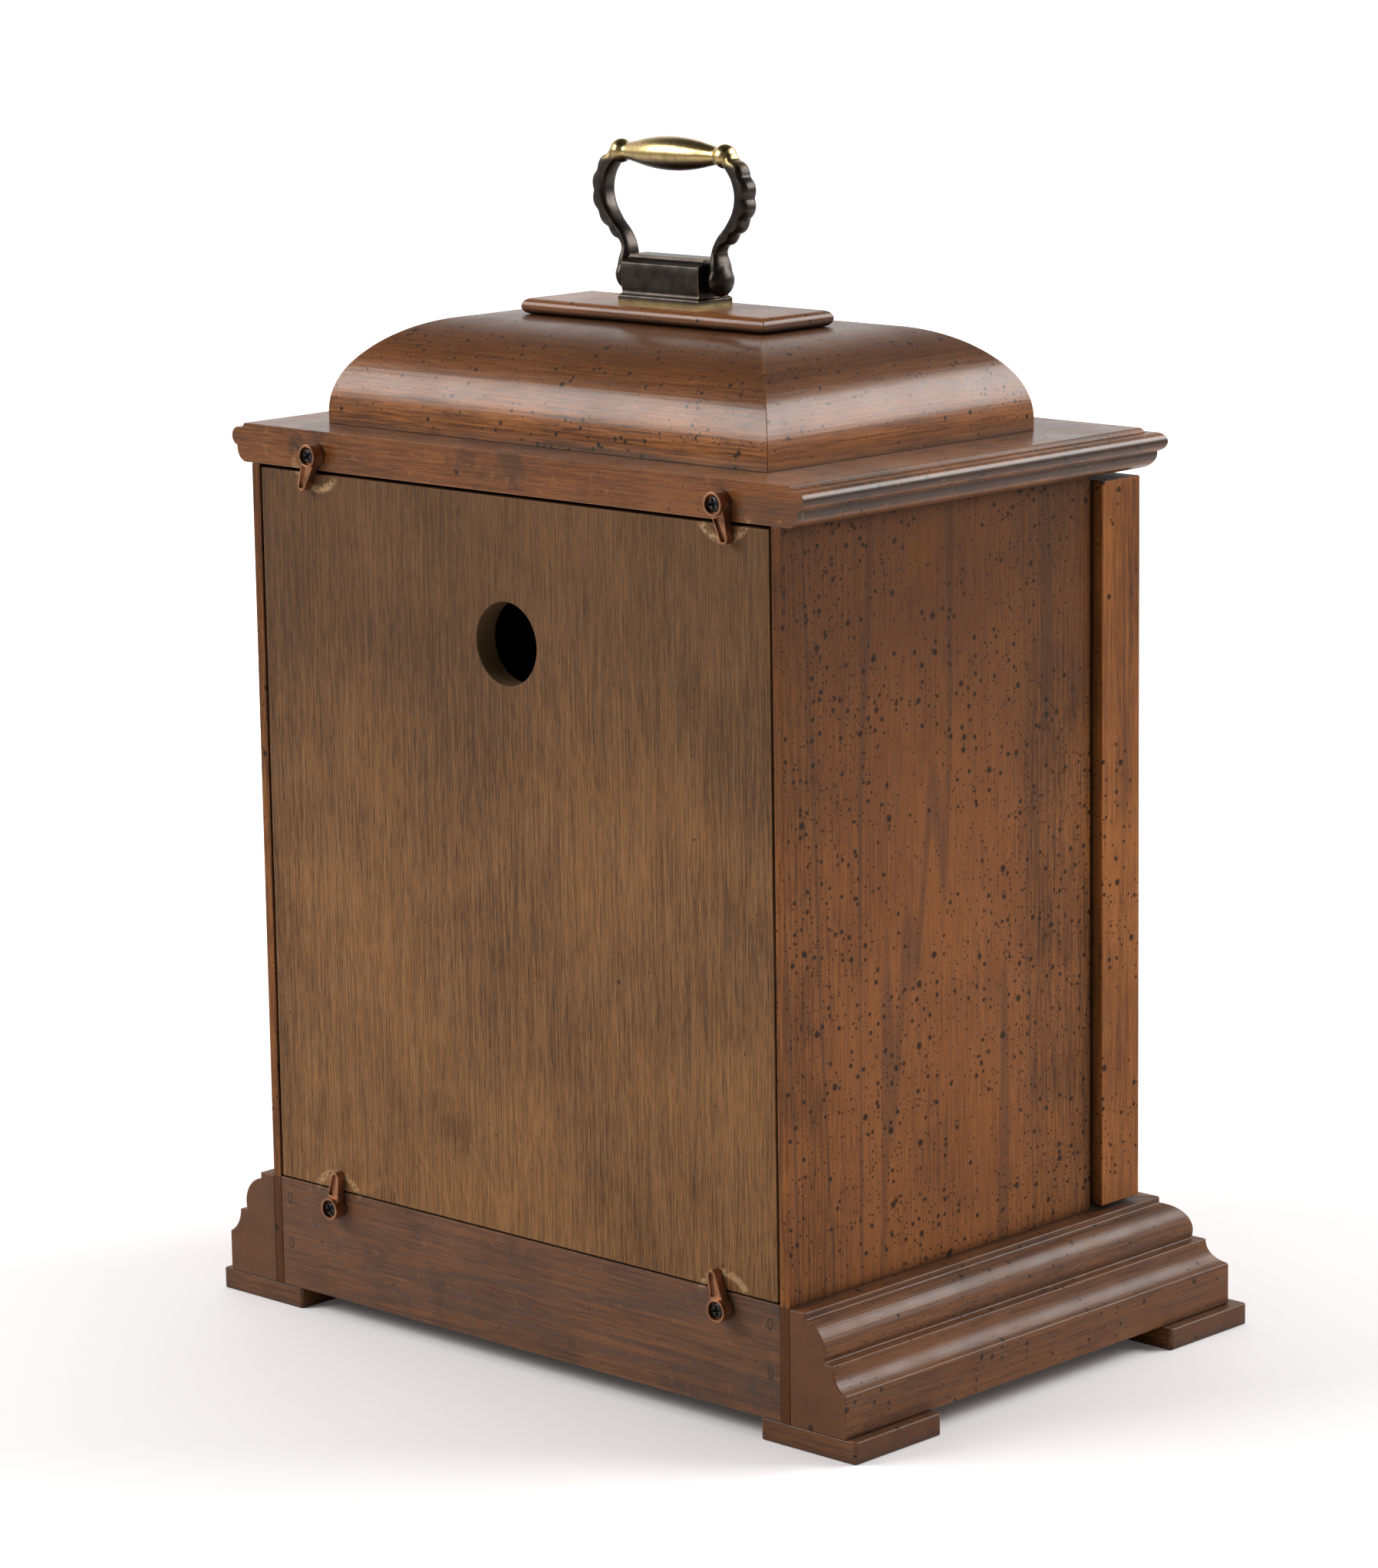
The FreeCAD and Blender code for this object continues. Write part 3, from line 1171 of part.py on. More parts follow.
def make_barrels():
    """Spring barrels and the winding arbors with their ratchet wheels and squares."""
    start = FRONT_PLATE + S.plate_thick + 3
    barrels = []
    for index, (train, way) in enumerate((("strike", -1), ("going", 1))):
        spot = (way * S.arbor_out, ARBOR_Z)
        end = start + S.barrel_long
        drum = flatted("barrel_drum_%d" % index, "y", S.barrel_wide, (start, end), spot, 32)
        lid = flatted("barrel_lid_%d" % index, "y", S.barrel_wide + 4, (start, start + 2), spot, 32)
        hole = bore("barrel_hole_%d" % index, "y", S.arbor_wide + 2 * S.shaft_gap,
                    (start - 1, end + 1), spot)
        barrels.append(cut("barrel_%d" % index, fuse("barrel_solid_%d" % index, drum, lid), hole))
        name = "winding_arbor_%s" % train
        square_end = RING_FRONT - 2
        shaft = flatted(name + "_shaft", "y", S.arbor_wide, (DIAL_FRONT, PLATES_END + 1), spot)
        side = S.arbor_square / 2
        square = box(name + "_square", (spot[0] - side, spot[0] + side), (square_end, DIAL_FRONT + 1),
                     (ARBOR_Z - side, ARBOR_Z + side))
        ratchet_front = FRONT_PLATE - 3.2
        ratchet = toothed_wheel(name + "_ratchet", 16, 1.2, ratchet_front, 2.4, spot[0], spot[1])
        node(name, fuse(name, shaft, square, ratchet))
    node("spring_barrels", group("spring_barrels", barrels))


def make_balance():
    """Platform escapement above the plates: platform, cock and the balance wheel between them."""
    top = S.dial_high - S.plate_height / 2 - 8 + S.plate_height
    y = (FRONT_PLATE + PLATES_END) / 2
    z = S.balance_high
    radius = S.balance_wide / 2
    platform_top = z - 5
    slab = box("platform_slab", (-22, 22), (FRONT_PLATE, PLATES_END), (platform_top - 2, platform_top))
    legs = []
    for index, depth in enumerate(((FRONT_PLATE, FRONT_PLATE + S.plate_thick), (BACK_PLATE, PLATES_END))):
        legs.append(box("platform_leg_%d" % index, (-16, 16), depth, (top, platform_top - 2)))
    post = flatted("cock_post", "z", 7.0, (platform_top, z + 4.5), (17, y))
    arm = box("cock_arm", (-3, 17), (y - 3, y + 3), (z + 2.5, z + 4.5))
    pivot = flatted("cock_jewel", "z", 6.0, (z + 2.5, z + 4.5), (0, y))
    hole = bore("balance_pivot_hole", "z", 1.2 + 2 * S.shaft_gap, (platform_top - 1.5, z + 4.0), (0, y))
    solid = fuse("balance_platform_solid", slab, post, arm, pivot, *legs)
    node("balance_platform", cut("balance_platform", solid, hole))
    rim = flatted("balance_rim", "z", S.balance_wide, (z - 0.9, z + 0.9), (0, y), 32)
    inside = flatted("balance_inside", "z", S.balance_wide - 3.6, (z - 2, z + 2), (0, y), 32)
    bars = [box("balance_bar", (1 - radius, radius - 1), (y - 1, y + 1), (z - 0.6, z + 0.6))]
    staff = flatted("balance_staff", "z", 1.2, (platform_top - 1.2, z + 3.8), (0, y))
    roller = flatted("balance_roller", "z", 4.0, (z - 2.5, z + 1.2), (0, y))
    node("balance_wheel", fuse("balance_wheel", cut("balance_ring", rim, inside), staff, roller, *bars))


def make_strike():
    """Cast gong block on the floor with two rods, and the hammer that lies on them."""
    block_x = INNER - 22
    y = PLATES_END + 14
    low_z = S.base_top + 22
    high_z = low_z + 12
    block = box("gong_casting", (block_x, block_x + 16), (y - 10, y + 10), (S.base_top, high_z + 10))
    foot = box("gong_foot", (block_x - 8, block_x + 20), (y - 13, y + 13), (S.base_top, S.base_top + 5))
    span = (block_x - S.rod_long, block_x + 12)
    seats = [flatted("gong_seat_%d" % index, "x", S.rod_wide, (block_x - 1, block_x + 12), (y, level))
             for index, level in enumerate((low_z, high_z))]
    node("gong_block", cut("gong_block", fuse("gong_solid", block, foot), *seats))
    rods = [flatted("gong_rod_%d" % index, "x", S.rod_wide, span, (y, level))
            for index, level in enumerate((low_z, high_z))]
    node("gong_rods", group("gong_rods", rods))
    pivot = HAMMER_PIVOT
    head_z = high_z + S.rod_wide / 2 + S.running_gap
    depth = (y - 3, y + 3)
    hub = flatted("hammer_hub", "y", 7.0, (PLATES_END + 1, y + 3), pivot)
    head_x = pivot[0] + 36
    arm = prism("hammer_arm", "XZ", [
        (pivot[0] - 1.5, pivot[1] - 2.5), (head_x, head_z + 9), (head_x, head_z + 12),
        (pivot[0] + 1.5, pivot[1] + 2.5)], depth)
    head = flatted("hammer_head", "z", 10.0, (head_z, head_z + 14), (head_x, y), 16)
    hole = bore("hammer_hole", "y", 3.0 + 2 * S.shaft_gap, (PLATES_END, y + 4), pivot)
    node("strike_hammer", cut("strike_hammer", fuse("hammer_solid", hub, arm, head), hole))


# ---------------------------------------------------------------- build and write

BUILDERS = [
    make_feet, make_base_mouldings, make_base_boards, make_sides, make_top_board, make_dome,
    make_plinth, make_bracket, make_pivots_and_bolts, make_bail, make_back_panel, make_turn_buttons,
    make_turn_screws, make_door_frame, make_door_glass, make_hinges, make_knob, make_dial,
    make_motion_work, make_hands, make_plates, make_barrels, make_balance, make_strike,
]


def check_document():
    """Stop if any object failed, or if a piece is missing or not a valid solid."""
    failed = [thing.Name for thing in DOC.Objects
              if "Invalid" in thing.State or "Error" in thing.State]
    if failed:
        raise RuntimeError("failed: %s" % ", ".join(failed))
    for name, thing in NODES.items():
        if thing.Shape.isNull() or not thing.Shape.isValid() or not thing.Shape.Solids:
            raise RuntimeError("%s is not a valid solid" % name)


def main():
    for build in BUILDERS:
        build()
    DOC.recompute()
    check_document()
    os.makedirs("parts", exist_ok=True)
    for name, thing in NODES.items():
        thing.Shape.exportStep("parts/%s.step" % name)
    print("wrote %d parts" % len(NODES))


main()
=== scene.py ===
"""Looks of the bracket clock: finishes, softened edges, castings, screws, dial and stage."""

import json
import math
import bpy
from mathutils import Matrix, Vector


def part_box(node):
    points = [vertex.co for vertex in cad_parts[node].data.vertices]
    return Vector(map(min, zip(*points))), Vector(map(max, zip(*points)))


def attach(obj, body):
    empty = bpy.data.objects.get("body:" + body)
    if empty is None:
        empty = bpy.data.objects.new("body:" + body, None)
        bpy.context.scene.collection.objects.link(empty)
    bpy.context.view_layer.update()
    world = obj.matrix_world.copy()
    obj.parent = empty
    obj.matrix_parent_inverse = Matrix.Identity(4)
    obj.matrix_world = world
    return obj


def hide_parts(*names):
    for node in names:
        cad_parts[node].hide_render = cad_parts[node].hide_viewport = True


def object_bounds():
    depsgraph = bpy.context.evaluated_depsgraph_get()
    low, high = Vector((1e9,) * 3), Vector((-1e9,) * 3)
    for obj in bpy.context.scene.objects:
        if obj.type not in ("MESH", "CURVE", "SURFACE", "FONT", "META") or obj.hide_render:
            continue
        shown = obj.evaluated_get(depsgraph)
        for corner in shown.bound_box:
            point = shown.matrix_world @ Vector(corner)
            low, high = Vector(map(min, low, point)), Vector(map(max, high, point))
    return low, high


bl_info = {
    "name": "Bracket Clock Finish",
    "version": (1, 0, 0),
    "blender": (4, 5, 0),
    "location": "View3D > Sidebar > Clock",
    "description": "Dresses the bracket clock's solids in stained cherry, brass and steel",
    "category": "Object",
}

import bmesh
import bpy
from mathutils import Matrix, Vector

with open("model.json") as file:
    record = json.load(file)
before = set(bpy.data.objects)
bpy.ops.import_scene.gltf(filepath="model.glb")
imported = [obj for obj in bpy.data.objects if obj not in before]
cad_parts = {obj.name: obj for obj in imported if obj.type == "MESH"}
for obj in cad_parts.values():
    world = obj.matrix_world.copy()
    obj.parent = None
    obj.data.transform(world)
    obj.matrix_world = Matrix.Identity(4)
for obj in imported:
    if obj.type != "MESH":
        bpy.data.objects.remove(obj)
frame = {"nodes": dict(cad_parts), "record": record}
NODES = frame["nodes"]
SOLID_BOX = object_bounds()
MM = 0.001
BODY_OF = {name: body
           for body, names in frame["record"]["behaviour"]["bodies"].items() for name in names}
SLOT_OF = {part["node"]: part["material_slot"] for part in frame["record"]["subparts"]}
JOINTS = {joint["name"]: joint for joint in frame["record"]["behaviour"]["joints"]}
BACK_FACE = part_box("back_panel")[1].y
SIDE_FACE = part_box("case_side_left")[0].x
MOULDING_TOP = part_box("base_moulding_left")[1].z

# Grain runs along this axis of each wooden node.
GRAIN = {
    "X": ("foot_front_left", "foot_front_right", "foot_rear_left", "foot_rear_right",
          "base_moulding_front", "top_board", "dome_front", "dome_back", "handle_plinth",
          "door_rail_top", "door_rail_bottom", "base_back_rail"),
    "Y": ("base_moulding_left", "base_moulding_right", "dome_left", "dome_right"),
    "Z": ("case_side_left", "case_side_right", "door_stile_left", "door_stile_right", "back_panel"),
}
AXIS = {"X": (1.0, 0.0, 0.0), "Y": (0.0, 1.0, 0.0), "Z": (0.0, 0.0, 1.0)}
BUTTONS = ("top_left", "top_right", "low_left", "low_right")

# Painted shade: heights between which the colour darkens upwards, on the case and on the dome.
CASE_TOP_SHADE = (0.15, 0.31)
DOME_TOP_SHADE = (0.326, 0.348)
HOLE_RADIUS = 14.25 * MM
SHARP_ANGLE = math.radians(35)
SOFTENED_ANGLE = math.radians(32)


# ---------------------------------------------------------------- node trees

class Graph:
    """Short words for making and joining the nodes of one tree."""

    def __init__(self, tree):
        self.tree = tree

    def node(self, kind, inputs=None, **settings):
        made = self.tree.nodes.new(kind)
        for name, value in settings.items():
            setattr(made, name, value)
        for name, value in (inputs or {}).items():
            self.feed(made.inputs[name], value)
        return made

    def feed(self, socket, value):
        if isinstance(value, bpy.types.NodeSocket):
            self.tree.links.new(value, socket)
        elif value is not None:
            socket.default_value = value

    def math(self, operation, a, b=None, clamp=False):
        made = self.node("ShaderNodeMath", operation=operation, use_clamp=clamp)
        self.feed(made.inputs[0], a)
        self.feed(made.inputs[1], b)
        return made.outputs[0]

    def vector(self, operation, a, b=None, scale=None):
        made = self.node("ShaderNodeVectorMath", operation=operation)
        self.feed(made.inputs[0], a)
        self.feed(made.inputs[1], b)
        if operation == "SCALE":
            self.feed(made.inputs["Scale"], scale)
        value = operation in ("DOT_PRODUCT", "LENGTH", "DISTANCE")
        return made.outputs["Value" if value else "Vector"]

    def noise(self, at, scale, detail=2.0, roughness=0.5, distortion=0.0):
        made = self.node("ShaderNodeTexNoise", {
            "Vector": at, "Scale": scale, "Detail": detail, "Roughness": roughness,
            "Distortion": distortion})
        return made.outputs["Fac"]

    def ramp(self, value, low, high, to_low=0.0, to_high=1.0):
        made = self.node("ShaderNodeMapRange", {
            "Value": value, "From Min": low, "From Max": high, "To Min": to_low, "To Max": to_high},
            interpolation_type="SMOOTHSTEP")
        return made.outputs["Result"]

    def mix(self, share, a, b):
        made = self.node("ShaderNodeMix", data_type="RGBA", blend_type="MIX")
        self.feed(made.inputs[0], share)
        self.feed(made.inputs[6], a)
        self.feed(made.inputs[7], b)
        return made.outputs[2]

    def lay(self, mask, share, colour, over):
        """A colour with another laid over it where a mask is high."""
        return self.mix(self.math("MULTIPLY", mask, share), colour, over)

    def height(self, position):
        return self.node("ShaderNodeSeparateXYZ", {"Vector": position}).outputs["Z"]

    def from_axis(self, position, centre):
        """Offset from a line that runs front to back through a centre."""
        return self.vector("MULTIPLY", self.vector("SUBTRACT", position, centre), (1.0, 0.0, 1.0))


def new_group(name, inputs, outputs):
    """An empty shader group and its graph: inputs (name, kind, default) and number outputs."""
    tree = bpy.data.node_groups.new(name, "ShaderNodeTree")
    for label, kind, default in inputs:
        socket = tree.interface.new_socket(name=label, in_out="INPUT", socket_type="NodeSocket" + kind)
        if default is not None:
            socket.default_value = default
    for label in outputs:
        tree.interface.new_socket(name=label, in_out="OUTPUT", socket_type="NodeSocketFloat")
    graph = Graph(tree)
    start = graph.node("NodeGroupInput")
    end = graph.node("NodeGroupOutput")
    return tree, graph, start.outputs, end.inputs


def wood_figure_group():
    """Fibres, growth-ring figure and pores of planed wood, drawn out along the grain."""
    tree, g, given, out = new_group("Wood figure", [
        ("Position", "Vector", None), ("Grain", "Vector", (0.0, 0.0, 1.0)), ("Seed", "Float", 0.0),
        ("Ring count", "Float", 7.0), ("Fineness", "Float", 1.0)],
        ["Fibre", "Band", "Line", "Pores", "End grain"])
    moved = g.vector("ADD", given["Position"], g.vector("SCALE", (0.37, 0.53, 0.71), scale=given["Seed"]))
    along = g.vector("DOT_PRODUCT", moved, given["Grain"])

    def drawn_out(share):
        back = g.math("MULTIPLY", along, share - 1.0)
        return g.vector("ADD", moved, g.vector("SCALE", given["Grain"], scale=back))

    def fibres(per_metre, share):
        scale = g.math("MULTIPLY", given["Fineness"], per_metre)
        return g.ramp(g.noise(drawn_out(share), scale, 2.0, 0.6), 0.34, 0.66)

    coarse = fibres(1150.0, 0.018)
    fine = fibres(2600.0, 0.04)
    g.feed(out["Fibre"], g.math("ADD", g.math("MULTIPLY", coarse, 0.5), g.math("MULTIPLY", fine, 0.5)))
    broad = g.noise(drawn_out(0.05), 26.0, 2.0, 0.45, 0.3)
    g.feed(out["Band"], g.ramp(broad, 0.34, 0.66))
    wave = g.math("SINE", g.math("MULTIPLY", g.math("MULTIPLY", broad, given["Ring count"]), 2 * math.pi))
    g.feed(out["Line"], g.ramp(wave, 0.90, 1.0))
    pore = g.node("ShaderNodeTexVoronoi", {"Vector": drawn_out(0.11), "Scale": 620.0}, feature="F1")
    g.feed(out["Pores"], g.ramp(pore.outputs["Distance"], 0.10, 0.26, 1.0, 0.0))
    surface = g.node("ShaderNodeNewGeometry").outputs["Normal"]
    facing = g.math("ABSOLUTE", g.vector("DOT_PRODUCT", surface, given["Grain"]))
    g.feed(out["End grain"], g.ramp(facing, 0.86, 0.97))
    return tree


def spatter_group():
    """Dark drops of glaze flicked over the finish: round spots of mixed size."""
    tree, g, given, out = new_group("Glaze spatter", [
        ("Position", "Vector", None), ("Amount", "Float", 0.5), ("Drop size", "Float", 1.0)],
        ["Mask"])
    cloud = g.ramp(g.noise(given["Position"], 17.0, 2.0), 0.34, 0.66, 0.35, 1.40)
    wanted = g.math("MULTIPLY", given["Amount"], cloud)
    drops = []
    for per_metre, widest, share in ((140.0, 0.19, 0.9), (300.0, 0.27, 1.0), (640.0, 0.28, 1.0)):
        cell = g.node("ShaderNodeTexVoronoi", {"Vector": given["Position"], "Scale": per_metre},
                      feature="F1")
        chance = g.node("ShaderNodeSeparateColor", {"Color": cell.outputs["Color"]})
        kept = g.math("LESS_THAN", chance.outputs["Red"], g.math("MULTIPLY", wanted, share))
        size = g.math("MULTIPLY", g.ramp(chance.outputs["Green"], 0.0, 1.0, 0.35, 1.0), widest)
        size = g.math("MULTIPLY", size, given["Drop size"])
        inside = g.math("DIVIDE", cell.outputs["Distance"], size)
        drops.append(g.math("MULTIPLY", g.ramp(inside, 0.75, 1.05, 1.0, 0.0), kept))
    both = g.math("MAXIMUM", drops[0], drops[1])
    g.feed(out["Mask"], g.math("MAXIMUM", both, drops[2], clamp=True))
    return tree


def edge_wear_group():
    """Mask of rubbed edges: where a rounded normal parts from the true one, broken by noise."""
    tree, g, given, out = new_group("Edge wear", [
        ("Position", "Vector", None), ("Reach", "Float", 1.5 * MM), ("Breakup", "Float", 0.5)],
        ["Mask"])
    rounded = g.node("ShaderNodeBevel", {"Radius": given["Reach"]}, samples=6).outputs["Normal"]
    true = g.node("ShaderNodeNewGeometry").outputs["Normal"]
    same = g.vector("DOT_PRODUCT", rounded, true)
    edge = g.ramp(same, 0.80, 0.995, 1.0, 0.0)
    rubbed = g.ramp(g.noise(given["Position"], 160.0, 3.0, 0.65), given["Breakup"], 0.85, 0.0, 1.0)
    g.feed(out["Mask"], g.math("MULTIPLY", edge, g.math("ADD", rubbed, 0.25), clamp=True))
    return tree


def hollow_glaze_and_shade_group():
    """Mask of the hollows found by ambient occlusion: quirks, corners and under mouldings, where the dark
    glaze stays and where shade falls; laid as colour, it is partly painted shade.
    """
    tree, g, given, out = new_group("Hollow glaze and shade", [("Reach", "Float", 6 * MM)], ["Mask"])
    shut = g.node("ShaderNodeAmbientOcclusion", {"Distance": given["Reach"]}, samples=8)
    g.feed(out["Mask"], g.ramp(shut.outputs["AO"], 0.25, 0.85, 1.0, 0.0))
    return tree


def button_scuff_group():
    """Pale arc that a turn button's tip has scratched round its screw."""
    tree, g, given, out = new_group("Button scuff", [
        ("Position", "Vector", None), ("Screw", "Vector", (0.0, 0.0, 0.0)),
        ("Arm", "Vector", (0.0, 0.0, 1.0)), ("Reach", "Float", 12 * MM)], ["Mask"])
    flat = g.from_axis(given["Position"], given["Screw"])
    away = g.vector("LENGTH", flat)
    toward = g.vector("DOT_PRODUCT", g.vector("NORMALIZE", flat), given["Arm"])
    off_ring = g.math("ABSOLUTE", g.math("SUBTRACT", away, given["Reach"]))
    ring = g.ramp(off_ring, 0.5 * MM, 2.0 * MM, 1.0, 0.0)
    swing = g.ramp(toward, 0.30, 0.66)
    scratches = g.ramp(g.noise(given["Position"], 800.0, 3.0, 0.6), 0.36, 0.56)
    g.feed(out["Mask"], g.math("MULTIPLY", g.math("MULTIPLY", ring, swing), scratches, clamp=True))
    return tree


def brushed_group():
    """Fine parallel or circular lines of a brushed or turned metal face."""
    tree, g, given, out = new_group("Brushed lines", [
        ("Position", "Vector", None), ("Centre", "Vector", (0.0, 0.0, 0.0)), ("Round", "Float", 1.0)],
        ["Lines"])
    radius = g.vector("LENGTH", g.from_axis(given["Position"], given["Centre"]))
    height = g.height(given["Position"])
    gap = g.math("SUBTRACT", radius, height)
    line = g.math("ADD", height, g.math("MULTIPLY", gap, given["Round"]))
    at = g.node("ShaderNodeCombineXYZ", {"X": line}).outputs["Vector"]
    g.feed(out["Lines"], g.noise(at, 5200.0, 2.0, 0.7))
    return tree


def ragged_stain_group():
    """Mask of one stain round a spot, with a ragged edge."""
    tree, g, given, out = new_group("Ragged stain", [
        ("Position", "Vector", None), ("Spot", "Vector", (0.0, 0.0, 0.0)), ("Size", "Float", 10 * MM)],
        ["Mask"])
    away = g.math("DIVIDE", g.vector("DISTANCE", given["Position"], given["Spot"]), given["Size"])
    ragged = g.noise(given["Position"], g.math("DIVIDE", 1.0, given["Size"]), 4.0, 0.7)
    reach = g.math("ADD", away, g.math("MULTIPLY", ragged, 2.8))
    g.feed(out["Mask"], g.ramp(reach, 1.3, 2.4, 1.0, 0.0))
    return tree


GROUPS = {}


def make_groups():
    """Every effect that more than one finish uses."""
    GROUPS.update(
        figure=wood_figure_group(), spatter=spatter_group(), wear=edge_wear_group(),
        hollow=hollow_glaze_and_shade_group(), scuff=button_scuff_group(), brushed=brushed_group(),
        stain=ragged_stain_group())


def new_material(name):
    """A material, its graph, its Principled shader and the surface's position in the object."""
    material = bpy.data.materials.new(name)
    material.use_nodes = True
    graph = Graph(material.node_tree)
    shader = material.node_tree.nodes["Principled BSDF"]
    position = graph.node("ShaderNodeTexCoord").outputs["Object"]
    return material, graph, shader, position


def use_group(graph, key, inputs):
    """Place a shared effect with its own values."""
    made = graph.node("ShaderNodeGroup", node_tree=GROUPS[key])
    for name, value in inputs.items():
        graph.feed(made.inputs[name], value)
    return made.outputs


def rounded_bump(graph, shader, height, strength, distance, radius):
    """Bump from a height, over edges rounded by a small radius."""
    bump = graph.node("ShaderNodeBump", {"Height": height, "Strength": strength, "Distance": distance})
    soft = graph.node("ShaderNodeBevel", {"Radius": radius}, samples=4)
    graph.feed(bump.inputs["Normal"], soft.outputs["Normal"])
    graph.feed(shader.inputs["Normal"], bump.outputs["Normal"])


def tinted(colour, share):
    """A lighter or darker share of a colour, opaque."""
    return tuple(channel * share for channel in colour[:3]) + (1.0,)


def button_scuffs(graph, position, colour, pale):
    """Lay every turn button's scuff over a colour."""
    for name in BUTTONS:
        screw = Vector(JOINTS["button_%s_turn" % name]["pos_m"])
        low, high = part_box("turn_button_" + name)
        arm = (low + high) / 2 - screw
        arm.y = 0.0
        mask = use_group(graph, "scuff", {
            "Position": position, "Screw": screw, "Arm": arm.normalized()})["Mask"]
        colour = graph.lay(mask, 0.75, colour, pale)
    return colour


def stained_at(graph, position, colour, spot, size, share, stain):
    """Lay one ragged stain over a colour."""
    mask = use_group(graph, "stain", {"Position": position, "Spot": spot, "Size": size})["Mask"]
    return graph.lay(mask, share, colour, stain)


def side_marks(g, position, height, colour, look, dark):
    """The side boards' thin amber patch and the dark line above the base moulding."""
    colour = stained_at(g, position, colour, look.amber_patch, 10 * MM, 0.6, tinted(look.amber, 1.0))
    shaded = g.ramp(height, MOULDING_TOP - 0.6 * MM, MOULDING_TOP + 0.9 * MM, 0.85, 0.0)
    return g.mix(shaded, colour, tinted(dark, 0.95))


def rear_marks(g, position, colour, look, mottle):
    """Ink spot, dark mottle, worn flecks and button scuffs of the wood round the back panel."""
    colour = stained_at(g, position, colour, look.ink_spot, 6 * MM, 0.85, tinted(look.glaze, 0.8))
    stain = g.ramp(g.noise(position, 34.0, 4.0, 0.65), 0.56, 0.66, 0.0, mottle)
    colour = g.mix(stain, colour, tinted(look.glaze, 1.3))
    worn = g.ramp(g.noise(position, 260.0, 4.0, 0.7), 0.60, 0.70, 0.0, 0.6 * mottle)
    colour = g.mix(worn, colour, tinted(look.bare_edge, 0.9))
    return button_scuffs(g, position, colour, tinted(look.bare_wood, 0.8))


def stained_cherry(name, axis, look, shade, spatter, gloss, drop=1.0, top_shade=0.0, top_shade_span=CASE_TOP_SHADE,
                   ends=1.0, band=0.30, lacquer=0.0, polish=0.10, mottle=0.0, edges=1.0, sides=False):
    """Stained and lacquered cherry: grain, blotchy stain, dark glaze, spatter and rubbed edges, with painted
    shade in the hollows and towards the top.
    """
    material, g, shader, position = new_material(name)
    wood = use_group(g, "figure", {
        "Position": position, "Grain": AXIS[axis], "Seed": 0.1 * len(name), "Ring count": 5.0})
    light = tinted(look.stain_light, shade)
    dark = tinted(look.stain_dark, shade)
    share = g.math("MULTIPLY", wood["Fibre"], 0.85)
    share = g.math("ADD", share, g.math("MULTIPLY", wood["Band"], band))
    blotch = g.ramp(g.noise(position, 24.0, 3.0, 0.55), 0.30, 0.70, -0.18, 0.16)
    share = g.math("ADD", share, blotch, clamp=True)
    colour = g.mix(share, dark, light)
    colour = g.lay(wood["Band"], band, colour, tinted(look.stain_red, shade))
    colour = g.lay(wood["Line"], 1.4 * band, colour, tinted(look.glaze, 2.0))
    height = g.height(position)
    # Painted shade: the colour darkens towards the top, between the given heights.
    colour = g.mix(g.ramp(height, *top_shade_span, 0.0, top_shade), colour, tinted(dark, 0.55))
    colour = g.lay(wood["Pores"], 0.30, colour, tinted(look.glaze, 1.6))
    end = g.mix(g.noise(position, 90.0, 3.0), tinted(dark, 1.25 * ends), tinted(light, 0.72 * ends))
    colour = g.mix(wood["End grain"], colour, end)
    # Glaze and painted shade: the glaze colour laid in the hollows that ambient occlusion finds.
    hollow = use_group(g, "hollow", {"Reach": 6 * MM})["Mask"]
    colour = g.lay(hollow, 0.92, colour, tinted(look.glaze, 1.0))
    wear = use_group(g, "wear", {"Position": position, "Reach": 1.3 * MM, "Breakup": 0.42})["Mask"]
    colour = g.lay(wear, look.edge_wear * edges, colour, tinted(look.bare_edge, 1.0))
    if sides:
        colour = side_marks(g, position, height, colour, look, dark)
    if mottle:
        colour = rear_marks(g, position, colour, look, mottle)
    drops = use_group(g, "spatter", {"Position": position, "Amount": spatter, "Drop size": drop})["Mask"]
    colour = g.lay(drops, 0.9, colour, tinted(look.glaze, 0.7))
    g.feed(shader.inputs["Base Color"], colour)
    rough = g.ramp(g.noise(position, 60.0, 3.0), 0.3, 0.7, gloss - 0.05, gloss + 0.08)
    rough = g.math("ADD", rough, g.math("MULTIPLY", wood["Fibre"], 0.10))
    g.feed(shader.inputs["Roughness"], g.math("ADD", rough, g.math("MULTIPLY", drops, 0.18)))
    shader.inputs["Specular IOR Level"].default_value = polish
    shader.inputs["Coat Weight"].default_value = lacquer
    shader.inputs["Coat Roughness"].default_value = 0.20
    relief = g.math("SUBTRACT", wood["Fibre"], g.math("MULTIPLY", wood["Pores"], 0.8))
    rounded_bump(g, shader, relief, 0.22, 0.04 * MM, 0.5 * MM)
    return material


